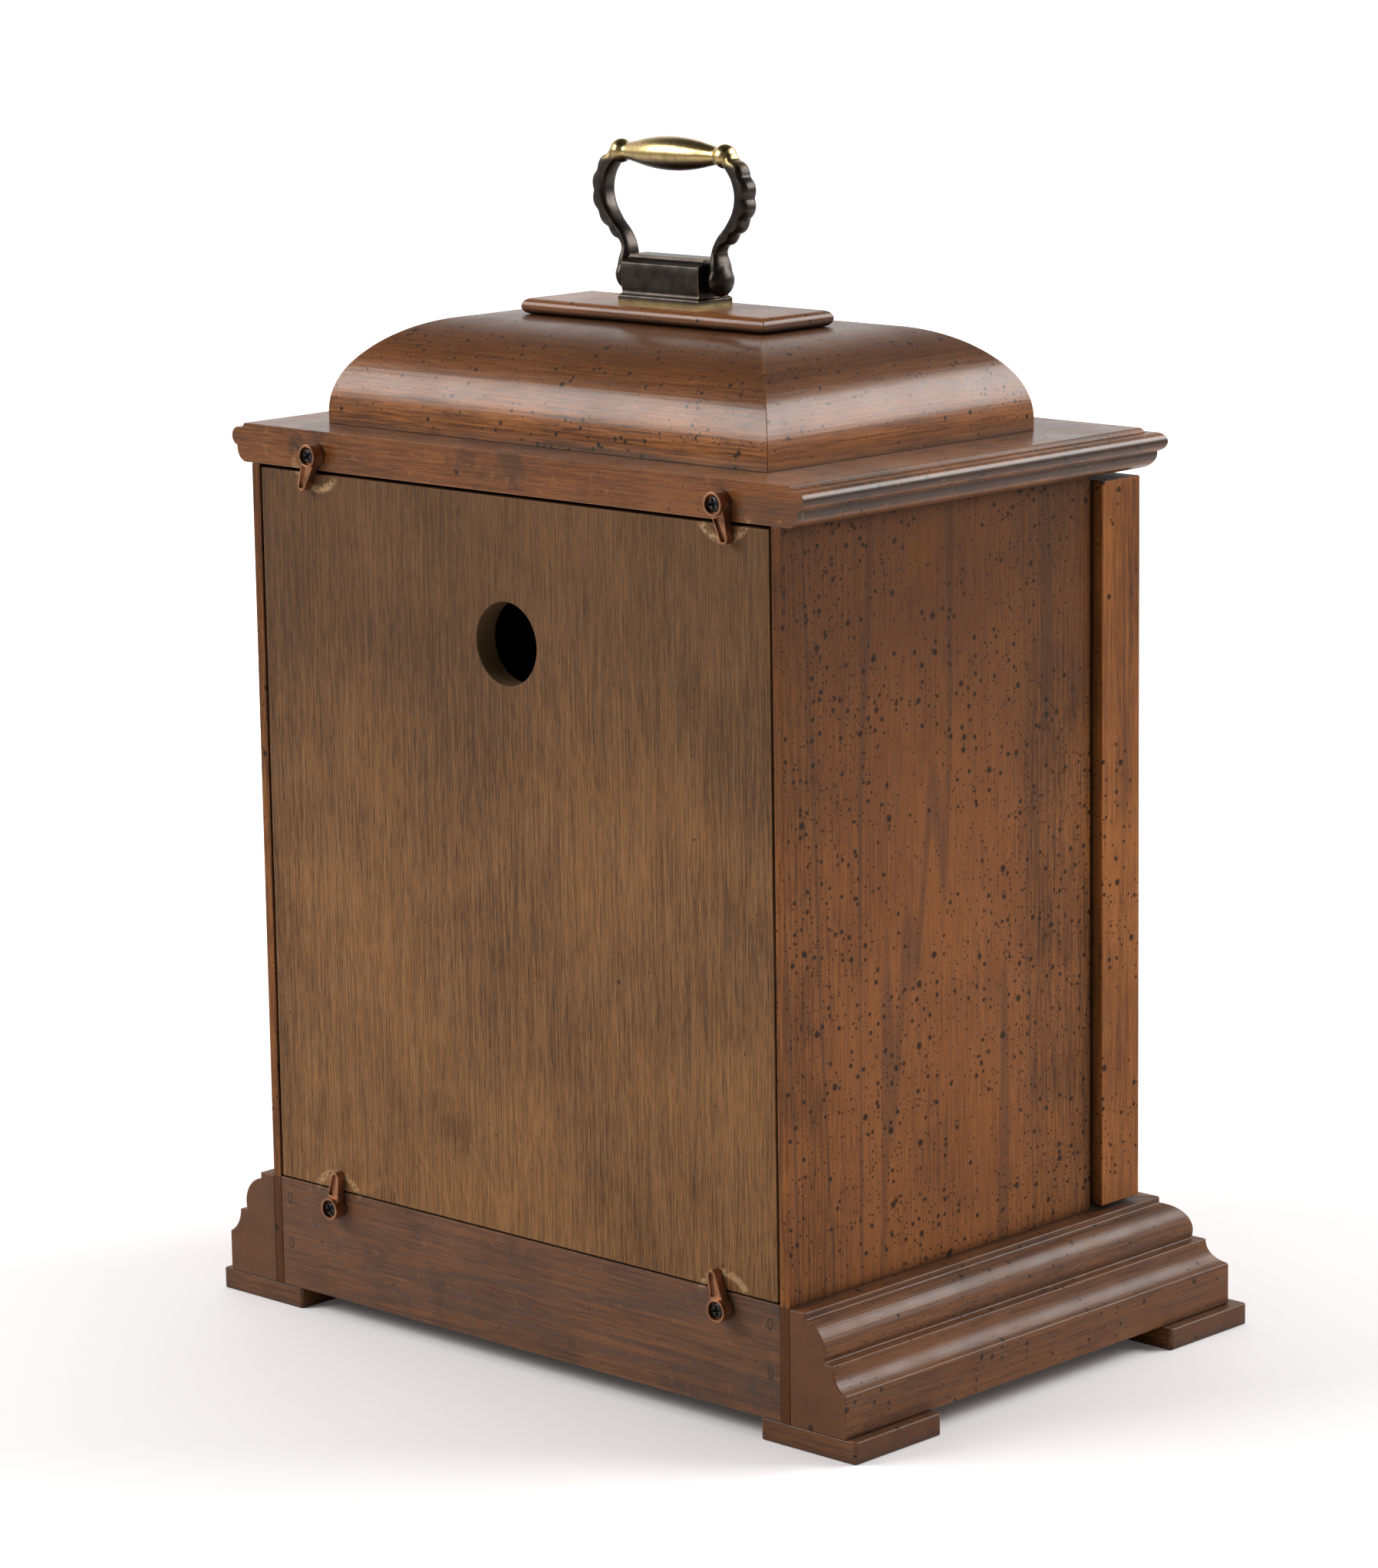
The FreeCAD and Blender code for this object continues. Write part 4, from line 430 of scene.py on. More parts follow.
def back_ply(name, look):
    """Olive-brown plywood with fine upright lines, stains, specks and pale rubs at the edges."""
    material, g, shader, position = new_material(name)
    wood = use_group(g, "figure", {
        "Position": position, "Grain": AXIS["Z"], "Seed": 4.2, "Ring count": 3.2, "Fineness": 1.9})
    share = g.math("ADD", g.math("MULTIPLY", wood["Fibre"], 0.95), g.math("MULTIPLY", wood["Band"], 0.06))
    cloud = g.ramp(g.noise(position, 11.0, 4.0, 0.6), 0.32, 0.68, -0.24, 0.14)
    share = g.math("ADD", share, cloud, clamp=True)
    colour = g.mix(share, tinted(look.ply_dark, 1.0), tinted(look.ply_light, 1.0))
    hills = g.noise(g.vector("MULTIPLY", position, (1.0, 1.0, 0.30)), 13.0, 1.0, 0.4, 0.4)
    wave = g.math("SINE", g.math("MULTIPLY", hills, 95.0))
    faint = g.ramp(g.noise(position, 9.0, 2.0), 0.45, 0.65, 0.0, 0.14)
    colour = g.lay(g.ramp(wave, 0.88, 1.0), faint, colour, tinted(look.ply_light, 1.5))
    colour = g.lay(wood["Pores"], 0.30, colour, tinted(look.ply_dark, 0.55))
    height = g.height(position)
    # Painted shade: the back panel darkens towards the top.
    colour = g.mix(g.ramp(height, *CASE_TOP_SHADE, 0.0, 0.48), colour, tinted(look.ply_dark, 0.6))
    colour = stained_at(g, position, colour, look.blot, 14 * MM, 0.50, tinted(look.ply_dark, 0.5))
    specks = use_group(g, "spatter", {"Position": position, "Amount": 0.085, "Drop size": 0.9})["Mask"]
    colour = g.lay(specks, 0.85, colour, tinted(look.glaze, 1.0))
    colour = button_scuffs(g, position, colour, tinted(look.bare_wood, 0.9))
    # Glaze and painted shade in the back panel's hollows.
    hollow = use_group(g, "hollow", {"Reach": 2 * MM})["Mask"]
    colour = g.lay(hollow, 0.5, colour, tinted(look.glaze, 1.0))
    wear = use_group(g, "wear", {"Position": position, "Reach": 0.9 * MM, "Breakup": 0.62})["Mask"]
    colour = g.lay(wear, 0.55, colour, tinted(look.bare_wood, 0.8))
    from_hole = g.vector("LENGTH", g.from_axis(position, hole_centre()))
    ply_lines = g.noise(g.vector("MULTIPLY", position, (60.0, 700.0, 60.0)), 1.0, 2.0)
    wall = g.mix(ply_lines, tinted(look.bare_wood, 0.08), tinted(look.bare_wood, 0.30))
    in_hole = g.ramp(from_hole, HOLE_RADIUS, HOLE_RADIUS + 0.2 * MM, 0.85, 0.0)
    colour = g.mix(in_hole, colour, wall)
    g.feed(shader.inputs["Base Color"], colour)
    g.feed(shader.inputs["Roughness"], g.ramp(g.noise(position, 40.0, 2.0), 0.3, 0.7, 0.50, 0.66))
    shader.inputs["Specular IOR Level"].default_value = 0.14
    relief = g.math("SUBTRACT", wood["Fibre"], wood["Pores"])
    rounded_bump(g, shader, relief, 0.45, 0.06 * MM, 0.3 * MM)
    return material


def hole_centre():
    """Middle of the hole in the back panel."""
    openings = {item["name"]: item["box_m"] for item in frame["record"]["physics"]["openings"]}
    return [(low + high) / 2 for low, high in zip(*openings["back_hole"])]


def plain_wood(name, look):
    """Unfinished pale wood of the inner boards and beads."""
    material, g, shader, position = new_material(name)
    wood = use_group(g, "figure", {
        "Position": position, "Grain": AXIS["Z"], "Seed": 2.0, "Ring count": 6.0})
    share = g.math("ADD", g.math("MULTIPLY", wood["Fibre"], 0.5), g.math("MULTIPLY", wood["Band"], 0.5))
    colour = g.mix(share, tinted(look.bare_wood, 0.62), tinted(look.bare_wood, 1.05))
    # Painted shade: the unfinished inner wood darkens in its hollows.
    hollow = use_group(g, "hollow", {"Reach": 8 * MM})["Mask"]
    g.feed(shader.inputs["Base Color"], g.lay(hollow, 0.5, colour, tinted(look.bare_wood, 0.2)))
    g.feed(shader.inputs["Roughness"], g.ramp(wood["Fibre"], 0.0, 1.0, 0.55, 0.72))
    rounded_bump(g, shader, wood["Fibre"], 0.4, 0.05 * MM, 0.3 * MM)
    return material


def aged_brass(name, dark, bright, rubbed, pits):
    """Cast brass, darkened in the hollows and polished where its rubbed mask is high."""
    material, g, shader, position = new_material(name)
    blotch = g.ramp(g.noise(position, 170.0, 4.0, 0.6), 0.32, 0.68)
    tarnish = g.mix(blotch, tinted(dark, 0.7), tinted(dark, 1.5))
    wear = use_group(g, "wear", {"Position": position, "Reach": 0.8 * MM, "Breakup": 0.40})["Mask"]
    polish = g.math("ADD", g.math("MULTIPLY", wear, 0.75), rubbed(g, position), clamp=True)
    hollow = use_group(g, "hollow", {"Reach": 3 * MM})["Mask"]
    polish = g.math("MULTIPLY", polish, g.math("SUBTRACT", 1.0, g.math("MULTIPLY", hollow, 0.7)))
    patchy = g.ramp(g.noise(position, 300.0, 4.0, 0.65), 0.25, 0.60, 0.62, 1.0)
    polish = g.math("MULTIPLY", polish, patchy)
    g.feed(shader.inputs["Base Color"], g.mix(polish, tarnish, tinted(bright, 1.0)))
    g.feed(shader.inputs["Metallic"], g.ramp(polish, 0.0, 1.0, 0.86, 1.0))
    grain = g.noise(position, 800.0, 3.0, 0.6)
    g.feed(shader.inputs["Roughness"], g.math("ADD", g.ramp(polish, 0.0, 1.0, 0.28, 0.20),
                                              g.math("MULTIPLY", grain, 0.10)))
    rounded_bump(g, shader, g.math("ADD", grain, g.math("MULTIPLY", blotch, 0.4)), pits, 0.05 * MM,
                 0.3 * MM)
    return material


def fine_metal(name, colour, roughness, centre, round_lines):
    """Turned or brushed metal with fine lines and faint tarnish."""
    material, g, shader, position = new_material(name)
    line = use_group(g, "brushed", {
        "Position": position, "Centre": centre, "Round": round_lines})["Lines"]
    tarnish = g.ramp(g.noise(position, 45.0, 3.0, 0.6), 0.35, 0.75)
    shade = g.lay(tarnish, 0.35, tinted(colour, 1.0), tinted(colour, 0.62))
    shade = g.lay(line, 0.22, shade, tinted(colour, 0.72))
    g.feed(shader.inputs["Base Color"], shade)
    shader.inputs["Metallic"].default_value = 1.0
    g.feed(shader.inputs["Roughness"], g.ramp(line, 0.2, 0.8, roughness - 0.06, roughness + 0.10))
    rounded_bump(g, shader, line, 0.35, 0.02 * MM, 0.2 * MM)
    return material


def dull_paint(name, colour, roughness):
    """Dark lacquer or wax, cloudy and worn grey at the edges."""
    material, g, shader, position = new_material(name)
    wear = use_group(g, "wear", {"Position": position, "Reach": 0.5 * MM, "Breakup": 0.55})["Mask"]
    cloud = g.mix(g.noise(position, 260.0, 3.0), tinted(colour, 0.8), tinted(colour, 1.5))
    worn_grey = (0.20, 0.19, 0.18, 1.0)
    g.feed(shader.inputs["Base Color"], g.lay(wear, 0.5, cloud, worn_grey))
    shader.inputs["Metallic"].default_value = 0.6
    g.feed(shader.inputs["Roughness"], g.ramp(g.noise(position, 500.0, 2.0), 0.3, 0.7,
                                              roughness - 0.06, roughness + 0.10))
    rounded_bump(g, shader, g.noise(position, 900.0, 2.0), 0.3, 0.03 * MM, 0.2 * MM)
    return material


def door_pane(name):
    """Clear glass with faint waves and a green cast."""
    material, g, shader, position = new_material(name)
    shader.inputs["Base Color"].default_value = (0.93, 0.97, 0.955, 1.0)
    shader.inputs["Transmission Weight"].default_value = 1.0
    shader.inputs["Metallic"].default_value = 0.0
    shader.inputs["IOR"].default_value = 1.5
    g.feed(shader.inputs["Roughness"], g.ramp(g.noise(position, 30.0, 2.0), 0.4, 0.8, 0.0, 0.03))
    bump = g.node("ShaderNodeBump", {"Height": g.noise(position, 16.0, 1.0), "Strength": 0.05,
                                     "Distance": 0.2 * MM})
    g.feed(shader.inputs["Normal"], bump.outputs["Normal"])
    return material


MATERIALS = {}


def make_materials(look):
    """Every finish, by its own name."""
    dial_centre = Vector(JOINTS["minute_turn"]["pos_m"])
    pivot = Vector(JOINTS["handle_swing"]["pos_m"])

    # Rubbing with a painted highlight: the top of the grip turns to polished brass by height, its underside
    # stays dark.
    def rubbed_and_lit_top(g, position):
        height = g.height(position)
        return g.ramp(height, pivot.z + 38.0 * MM, pivot.z + 43.0 * MM, 0.0, 0.95)

    def flange_rubbed(g, position):
        height = g.height(position)
        return g.ramp(height, pivot.z - 9.4 * MM, pivot.z - 7.2 * MM, 0.6, 0.0)

    def evenly_rubbed(g, position):
        return g.ramp(g.noise(position, 240.0, 3.0), 0.40, 0.80, 0.0, 0.5)

    # The shares that darken the panel, door and dome towards the top are painted shade.
    cherry = {
        "panel": dict(shade=1.10, spatter=1.0, gloss=0.38, drop=1.08, top_shade=0.60, polish=0.12, edges=0.55,
                      sides=True),
        "door": dict(shade=1.34, spatter=0.75, gloss=0.38, top_shade=0.15),
        "dome": dict(shade=1.55, spatter=0.60, gloss=0.34, lacquer=0.40, band=0.15, top_shade=0.80,
                     top_shade_span=DOME_TOP_SHADE),
        "top": dict(shade=0.84, spatter=0.30, gloss=0.34, lacquer=0.45, ends=0.38, mottle=0.5),
        "base": dict(shade=0.74, spatter=0.30, gloss=0.40, lacquer=0.12, band=0.20, polish=0.22,
                     edges=1.2),
        "plinth": dict(shade=0.95, spatter=0.40, gloss=0.32, drop=0.8, lacquer=0.40)}
    for part, axes in (("panel", "Z"), ("door", "XZ"), ("dome", "XY"), ("top", "X"), ("base", "XY"),
                       ("plinth", "X")):
        for axis in axes:
            key = "cherry_%s_%s" % (part, axis.lower())
            MATERIALS[key] = stained_cherry(key, axis, look, **cherry[part])
    MATERIALS["rail_wood"] = stained_cherry(
        "rail_wood", "X", look, shade=0.66, spatter=0.10, gloss=0.55, polish=0.42, mottle=0.4)
    MATERIALS["back_ply"] = back_ply("back_ply", look)
    MATERIALS["inner_wood"] = plain_wood("inner_wood", look)
    for key, dark, bright, rubbed, pits in (
            ("antique_brass", look.bronze, look.brass, rubbed_and_lit_top, 0.2),
            ("bracket_brass", look.bronze, look.brass, flange_rubbed, 0.5),
            ("knob_brass", look.bronze, look.brass, evenly_rubbed, 0.5),
            ("button_brass", look.copper_tan, look.copper_light, evenly_rubbed, 0.7)):
        MATERIALS[key] = aged_brass(key, dark, bright, rubbed, pits)
    for key, colour, roughness, round_lines in (
            ("dial_brass", look.brass, 0.30, 0.0), ("silvered", (0.74, 0.73, 0.69), 0.38, 1.0),
            ("movement_brass", look.brass, 0.28, 0.0), ("steel", (0.48, 0.48, 0.49), 0.26, 1.0),
            ("blued_steel", (0.020, 0.030, 0.075), 0.22, 0.0)):
        MATERIALS[key] = fine_metal(key, colour, roughness, dial_centre, round_lines)
    for key, colour, roughness in (
            ("black_steel", (0.016, 0.014, 0.013), 0.34), ("cast_iron", (0.030, 0.030, 0.032), 0.50),
            ("numeral_wax", (0.008, 0.008, 0.008), 0.45)):
        MATERIALS[key] = dull_paint(key, colour, roughness)
    MATERIALS["glass"] = door_pane("glass")


def material_of(name):
    """The finish of a CAD node."""
    axis = next((key for key, names in GRAIN.items() if name in names), "Z").lower()
    for start, part in (("case_side", "panel"), ("door_stile", "door"), ("door_rail", "door"),
                        ("dome", "dome"), ("top_board", "top"), ("base_moulding", "base"),
                        ("foot", "base"), ("handle_plinth", "plinth")):
        if name.startswith(start):
            return MATERIALS["cherry_%s_%s" % (part, axis)]
    special = {"base_back_rail": "rail_wood", "handle_bracket": "bracket_brass", "door_knob": "knob_brass"}
    return MATERIALS[special.get(name, SLOT_OF[name])]


# ---------------------------------------------------------------- pieces

def add_piece(name, mesh, material, body, replaces=()):
    """Show a mesh as a piece that rides on a body, in place of any CAD nodes it replaces."""
    piece = bpy.data.objects.new(name, mesh)
    bpy.context.scene.collection.objects.link(piece)
    mesh.materials.clear()
    mesh.materials.append(material)
    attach(piece, body)
    if replaces:
        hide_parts(*replaces)
    return piece


def cleaned_copy(name):
    """A CAD node's mesh with its flat faces made whole again."""
    mesh = NODES[name].data.copy()
    shape = bmesh.new()
    shape.from_mesh(mesh)
    bmesh.ops.remove_doubles(shape, verts=shape.verts, dist=1e-6)
    bmesh.ops.dissolve_limit(shape, angle_limit=math.radians(0.6), use_dissolve_boundaries=False,
                             verts=shape.verts, edges=shape.edges)
    shape.to_mesh(mesh)
    shape.free()
    return mesh


def shade_curves(mesh, angle):
    """Shade smooth between the edges that are sharper than an angle."""
    mesh.shade_smooth()
    mesh.set_sharp_from_angle(angle=angle)


def dress(name, width):
    """A copy of a CAD node in the node's place, its sharp edges softened by a bevel."""
    piece = add_piece(name + "_dressed", cleaned_copy(name), material_of(name), BODY_OF[name],
                      (name,))
    shade_curves(piece.data, SOFTENED_ANGLE)
    bevel = piece.modifiers.new("Softened edges", "BEVEL")
    bevel.width = width
    bevel.segments = 3
    bevel.limit_method = "ANGLE"
    bevel.angle_limit = SOFTENED_ANGLE
    bevel.harden_normals = True


def join_rings(shape, rings):
    """Faces between one ring of points and the next; a ring of one point makes triangles."""
    count = max(len(ring) for ring in rings)
    for first, second in zip(rings, rings[1:]):
        for step in range(count):
            after = (step + 1) % count
            corners = [first[step % len(first)], first[after % len(first)],
                       second[after % len(second)], second[step % len(second)]]
            shape.faces.new(list(dict.fromkeys(corners)))


def lathe_mesh(profile, steps, axis_matrix):
    """Turn (radius, along) pairs round the local Z axis, then place by a matrix."""
    shape = bmesh.new()
    rings = []
    for radius, along in profile:
        if radius < 1e-7:
            rings.append([shape.verts.new((0.0, 0.0, along))])
            continue
        turn = [2 * math.pi * step / steps for step in range(steps)]
        rings.append([shape.verts.new((radius * math.cos(a), radius * math.sin(a), along)) for a in turn])
    join_rings(shape, rings)
    bmesh.ops.recalc_face_normals(shape, faces=shape.faces)
    shape.transform(axis_matrix)
    return shape


def smooth_profile(points, steps):
    """A smooth curve through a list of points, with a number of steps from each to the next."""
    result = []
    for index in range(len(points) - 1):
        before = Vector(points[max(index - 1, 0)])
        a, b = Vector(points[index]), Vector(points[index + 1])
        after = Vector(points[min(index + 2, len(points) - 1)])
        for step in range(steps):
            t = step / steps
            curve = (2 * a + (b - before) * t + (2 * before - 5 * a + 4 * b - after) * t * t
                     + (3 * a - before - 3 * b + after) * t ** 3)
            result.append(tuple(0.5 * curve))
    return result + [tuple(points[-1])]


def to_mesh(name, *shapes):
    """Join bmesh shapes into one mesh."""
    mesh = bpy.data.meshes.new(name)
    whole = bmesh.new()
    for shape in shapes:
        part = bpy.data.meshes.new("part")
        shape.to_mesh(part)
        shape.free()
        whole.from_mesh(part)
        bpy.data.meshes.remove(part)
    whole.to_mesh(mesh)
    whole.free()
    return mesh


# One arm of the bail, from its pivot to the grip: across, up, thickness, width (millimetres).
ARM_STATIONS = [
    (21.9, 1.0, 4.6, 9.6), (21.5, 5.0, 3.9, 8.8), (21.2, 9.4, 3.0, 6.8), (23.4, 13.3, 3.5, 6.6),
    (27.8, 17.4, 4.2, 7.0), (31.7, 22.8, 4.8, 7.4), (33.0, 28.8, 5.0, 7.4), (31.4, 34.6, 4.8, 7.2),
    (28.1, 38.8, 4.4, 6.8), (25.2, 41.2, 3.8, 5.8)]
ARM_AROUND = 20
ARM_SQUARENESS = 0.6
SCALLOPS = 6
SCALLOP_START = 12.0
SCALLOP_PITCH = 6.4
SCALLOP_DEPTH = 1.25
GRIP_RADIUS = 5.8


def squared(value):
    """A sine or cosine, drawn towards a square's."""
    return math.copysign(abs(value) ** ARM_SQUARENESS, value)


def arm_shape(way, pivot):
    """Sweep one arm of the bail: a rounded bar with a scalloped outer edge."""
    stations = smooth_profile(ARM_STATIONS, 9)
    shape = bmesh.new()
    rings = []
    travelled = 0.0
    for index, (across, up, thick, wide) in enumerate(stations):
        ahead = stations[min(index + 1, len(stations) - 1)]
        behind = stations[max(index - 1, 0)]
        along = Vector((ahead[0] - behind[0], ahead[1] - behind[1])).normalized()
        outward = Vector((along.y, -along.x))
        travelled += math.hypot(across - behind[0], up - behind[1])
        scallop = (travelled - SCALLOP_START) / SCALLOP_PITCH
        bump = SCALLOP_DEPTH * abs(math.sin(math.pi * scallop)) if 0 <= scallop <= SCALLOPS else 0.0
        ring = []
        for step in range(ARM_AROUND):
            angle = 2 * math.pi * step / ARM_AROUND
            side = squared(math.cos(angle))
            depth = squared(math.sin(angle))
            reach = side * thick / 2 + bump * max(side, 0.0)
            spot = Vector((across, up)) + outward * reach
            ring.append(shape.verts.new((pivot.x + way * spot.x * MM, pivot.y + depth * wide / 2 * MM,
                                         pivot.z + spot.y * MM)))
        rings.append(ring)
    join_rings(shape, rings)
    shape.faces.new(rings[0])
    shape.faces.new(rings[-1])
    bmesh.ops.recalc_face_normals(shape, faces=shape.faces)
    return shape


def bail_grip_profile():
    """Radius against length of the turned grip: a barrel between two beads."""
    half = [(GRIP_RADIUS, 0.0), (5.55, 6.0), (4.75, 12.0), (3.5, 18.0), (3.05, 20.6), (3.3, 21.8),
            (4.0, 23.2), (4.15, 24.6), (3.6, 26.4), (2.2, 27.5), (0.0, 27.8)]
    mirrored = [(radius, -along) for radius, along in reversed(half[1:])]
    return [(radius * MM, along * MM) for radius, along in smooth_profile(mirrored + half, 4)]


def teardrop(way, pivot):
    """Drop-shaped end of an arm, flat where it meets the bracket."""
    shape = bmesh.new()
    bmesh.ops.create_uvsphere(shape, u_segments=32, v_segments=20, radius=1.0)
    middle_out, half_width, half_thick, flat = 21.7 * MM, 5.6 * MM, 3.6 * MM, 3.3 * MM
    half_height = pivot.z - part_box("handle_bail")[0].z
    for vert in shape.verts:
        spot = vert.co.copy()
        lift = max(spot.z, 0.0)
        narrow = 1.0 - 0.35 * lift * lift
        across = middle_out + max(spot.x * half_thick * narrow, -flat)
        vert.co = Vector((pivot.x + way * across, pivot.y + spot.y * half_width * narrow,
                          pivot.z + spot.z * half_height * (1.0 + 0.25 * lift)))
    bmesh.ops.recalc_face_normals(shape, faces=shape.faces)
    return shape


def remeshed(piece, voxel, smooth):
    """Melt a piece's overlapping shapes into one skin, as a casting, and apply it."""
    remesh = piece.modifiers.new("Cast skin", "REMESH")
    remesh.mode = "VOXEL"
    remesh.voxel_size = voxel
    relax = piece.modifiers.new("Cast softness", "SMOOTH")
    relax.iterations = smooth
    relax.factor = 0.5
    deps = bpy.context.evaluated_depsgraph_get()
    mesh = bpy.data.meshes.new_from_object(piece.evaluated_get(deps))
    piece.modifiers.clear()
    piece.data = mesh
    mesh.shade_smooth()


class ClockPiece:
    """What every operator here shares."""

    bl_options = {"REGISTER", "UNDO"}


class CLOCK_OT_finishes(ClockPiece, bpy.types.Operator):
    """Make the finishes and give every CAD node its own"""

    bl_idname = "clock.finishes"
    bl_label = "Finishes"

    def execute(self, context):
        make_groups()
        make_materials(context.scene.clock_finish)
        for name, node in NODES.items():
            node.data.materials.clear()
            node.data.materials.append(material_of(name))
        return {"FINISHED"}


class CLOCK_OT_case(ClockPiece, bpy.types.Operator):
    """Soften the edges of the wooden case"""

    bl_idname = "clock.case"
    bl_label = "Wooden case"

    def execute(self, context):
        unit = context.scene.clock_finish.edge_softness
        widths = {"foot": 1.2, "base_moulding": 0.5, "base_back_rail": 0.4, "case_side": 0.5,
                  "top_board": 0.5, "dome": 0.15, "handle_plinth": 0.3, "back_panel": 0.4,
                  "door_stile": 0.5, "door_rail": 0.5}
        for name in NODES:
            for start, width in widths.items():
                if name.startswith(start):
                    dress(name, width * unit)
        return {"FINISHED"}


class CLOCK_OT_handle(ClockPiece, bpy.types.Operator):
    """Cast bail with scalloped arms and turned grip, and its bracket"""

    bl_idname = "clock.handle"
    bl_label = "Carrying handle"

    def execute(self, context):
        pivot = Vector(JOINTS["handle_swing"]["pos_m"])
        grip_at = Vector((pivot.x, pivot.y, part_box("handle_bail")[1].z - GRIP_RADIUS * MM))
        to_x = Matrix.Translation(grip_at) @ Matrix.Rotation(math.pi / 2, 4, "Y")
        grip = lathe_mesh(bail_grip_profile(), 40, to_x)
        shapes = [grip] + [make(way, pivot) for make in (arm_shape, teardrop) for way in (-1, 1)]
        mesh = to_mesh("bail_casting", *shapes)
        bail = add_piece("bail_casting", mesh, MATERIALS["antique_brass"], "handle_bail",
                         ("handle_bail",))
        remeshed(bail, 0.34 * MM, 3)
        bail.data.materials.clear()
        bail.data.materials.append(MATERIALS["antique_brass"])
        dress("handle_bracket", 0.45 * MM)
        return {"FINISHED"}


class CLOCK_OT_turn_buttons(ClockPiece, bpy.types.Operator):
    """Soften the four cast turn buttons and cut the crosses in their screws"""

    bl_idname = "clock.turn_buttons"
    bl_label = "Turn buttons"

    def execute(self, context):
        for name in BUTTONS:
            dress("turn_button_" + name, 0.28 * MM)
        shapes = []
        for name in BUTTONS:
            spot = Vector(JOINTS["button_%s_turn" % name]["pos_m"])
            spot.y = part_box("turn_button_screws")[1].y
            shapes += screw_shapes(spot, SCREW_RADIUS, 24.0 * len(name))
        mesh = to_mesh("turn_button_screw_heads", *shapes)
        add_piece("turn_button_screw_heads", mesh, MATERIALS["black_steel"],
                  BODY_OF["turn_button_screws"], ("turn_button_screws",))
        shade_curves(mesh, SHARP_ANGLE)
        return {"FINISHED"}


SCREW_RADIUS = 2.7 * MM


def screw_shapes(top, radius, turn):
    """A pan head with a sunk cross, and its shank, facing +Y with its top at a point."""
    face_y = Matrix.Translation(top) @ Matrix.Rotation(-math.pi / 2, 4, "X")
    slot = 0.17 * radius
    arm = 0.72 * radius
    top_share = 0.82
    bottom = -0.62 * radius
    shape = bmesh.new()

    def ring(points, scale, along):
        rows = Matrix.Rotation(math.radians(turn), 2)
        return [shape.verts.new((*(rows @ Vector(point) * scale), along)) for point in points]

    corners = [(arm, -slot), (arm, slot), (slot, slot), (slot, arm), (-slot, arm), (-slot, slot),
               (-arm, slot), (-arm, -slot), (-slot, -slot), (-slot, -arm), (slot, -arm), (slot, -slot)]
    around = [Vector(corner).normalized() * radius for corner in corners]
    floor = ring(corners, 0.8, -0.55 * radius)
    skirt = ring(around, 1.0, bottom)
    join_rings(shape, [floor, ring(corners, 1.0, -0.06 * radius), ring(around, top_share, -0.10 * radius),
                       ring(around, 1.0, -0.30 * radius), skirt])
    shape.faces.new(floor)
    shape.faces.new(skirt)
    bmesh.ops.recalc_face_normals(shape, faces=shape.faces)
    shape.transform(face_y)
    shank, tip = 1.45 * MM, 1.2 * MM
    below = lathe_mesh([(0.0, -20.5 * MM), (tip, -19.5 * MM), (shank, -16 * MM), (shank, bottom),
                        (0.0, bottom)], 16, face_y)
    return [shape, below]


class CLOCK_OT_door(ClockPiece, bpy.types.Operator):
    """Turned knob with its latch tongue"""

    bl_idname = "clock.door"
    bl_label = "Door fittings"

    def execute(self, context):
        low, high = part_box("door_knob")
        centre = Vector(JOINTS["door_knob_turn"]["pos_m"])
        radius = high.x - centre.x
        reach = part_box("door_stile_left")[0].y - low.y
        # Shares of the radius, and of the reach from the knob's face to the door's.
        profile = [(0.0, 0.0), (0.45, 0.02), (0.80, 0.11), (0.99, 0.24), (0.97, 0.38), (0.70, 0.52),
                   (0.44, 0.62), (0.42, 0.76), (0.50, 0.86), (0.73, 0.90), (0.74, 0.985)]
        turned = [(share * radius, along * reach) for share, along in smooth_profile(profile, 5)]
        shaft = 2.5 * MM
        turned += [(shaft, reach - 0.2 * MM), (shaft, high.y - low.y), (0.0, high.y - low.y)]
        to_y = Matrix.Translation((centre.x, low.y, centre.z)) @ Matrix.Rotation(-math.pi / 2, 4, "X")
        tongue = bmesh.new()
        bmesh.ops.create_cube(tongue, size=1.0)
        wide, thick = 6 * MM, 3 * MM
        tall = high.z - centre.z + wide / 2
        tongue.transform(Matrix.Translation((centre.x, high.y - thick / 2, high.z - tall / 2))
                         @ Matrix.Diagonal((wide, thick, tall, 1.0)))
        bmesh.ops.bevel(tongue, geom=tongue.edges[:], offset=0.5 * MM, segments=2, affect="EDGES")
        mesh = to_mesh("door_knob_turned", lathe_mesh(turned, 48, to_y), tongue)
        add_piece("door_knob_turned", mesh, MATERIALS["knob_brass"], "door_knob",
                  ("door_knob",))
        shade_curves(mesh, SHARP_ANGLE)
        return {"FINISHED"}


def bar_shape(shape, points, back, front):
    """Add a flat prism from points in X-Z between two depths."""
    rear = [shape.verts.new((x, back, z)) for x, z in points]
    fore = [shape.verts.new((x, front, z)) for x, z in points]
    count = len(points)
    shape.faces.new(fore)
    shape.faces.new(rear)
    for step in range(count):
        after = (step + 1) % count
        shape.faces.new((rear[step], rear[after], fore[after], fore[step]))


ROMAN = ("I", "II", "III", "IIII", "V", "VI", "VII", "VIII", "IX", "X", "XI", "XII")
# Each letter's width and strokes from its foot (0) to its head (1): millimetres across, thickness last.
STROKES = {
    "I": (4.0, [((2.0, 0), (2.0, 1), 1.7)]),
    "V": (8.6, [((1.4, 1), (4.3, 0), 1.8), ((7.2, 1), (4.3, 0), 0.7)]),
    "X": (8.6, [((1.4, 1), (7.2, 0), 1.8), ((1.4, 0), (7.2, 1), 0.7)]),
}
NUMERAL_HEIGHT = 13.0
SERIF = 0.5
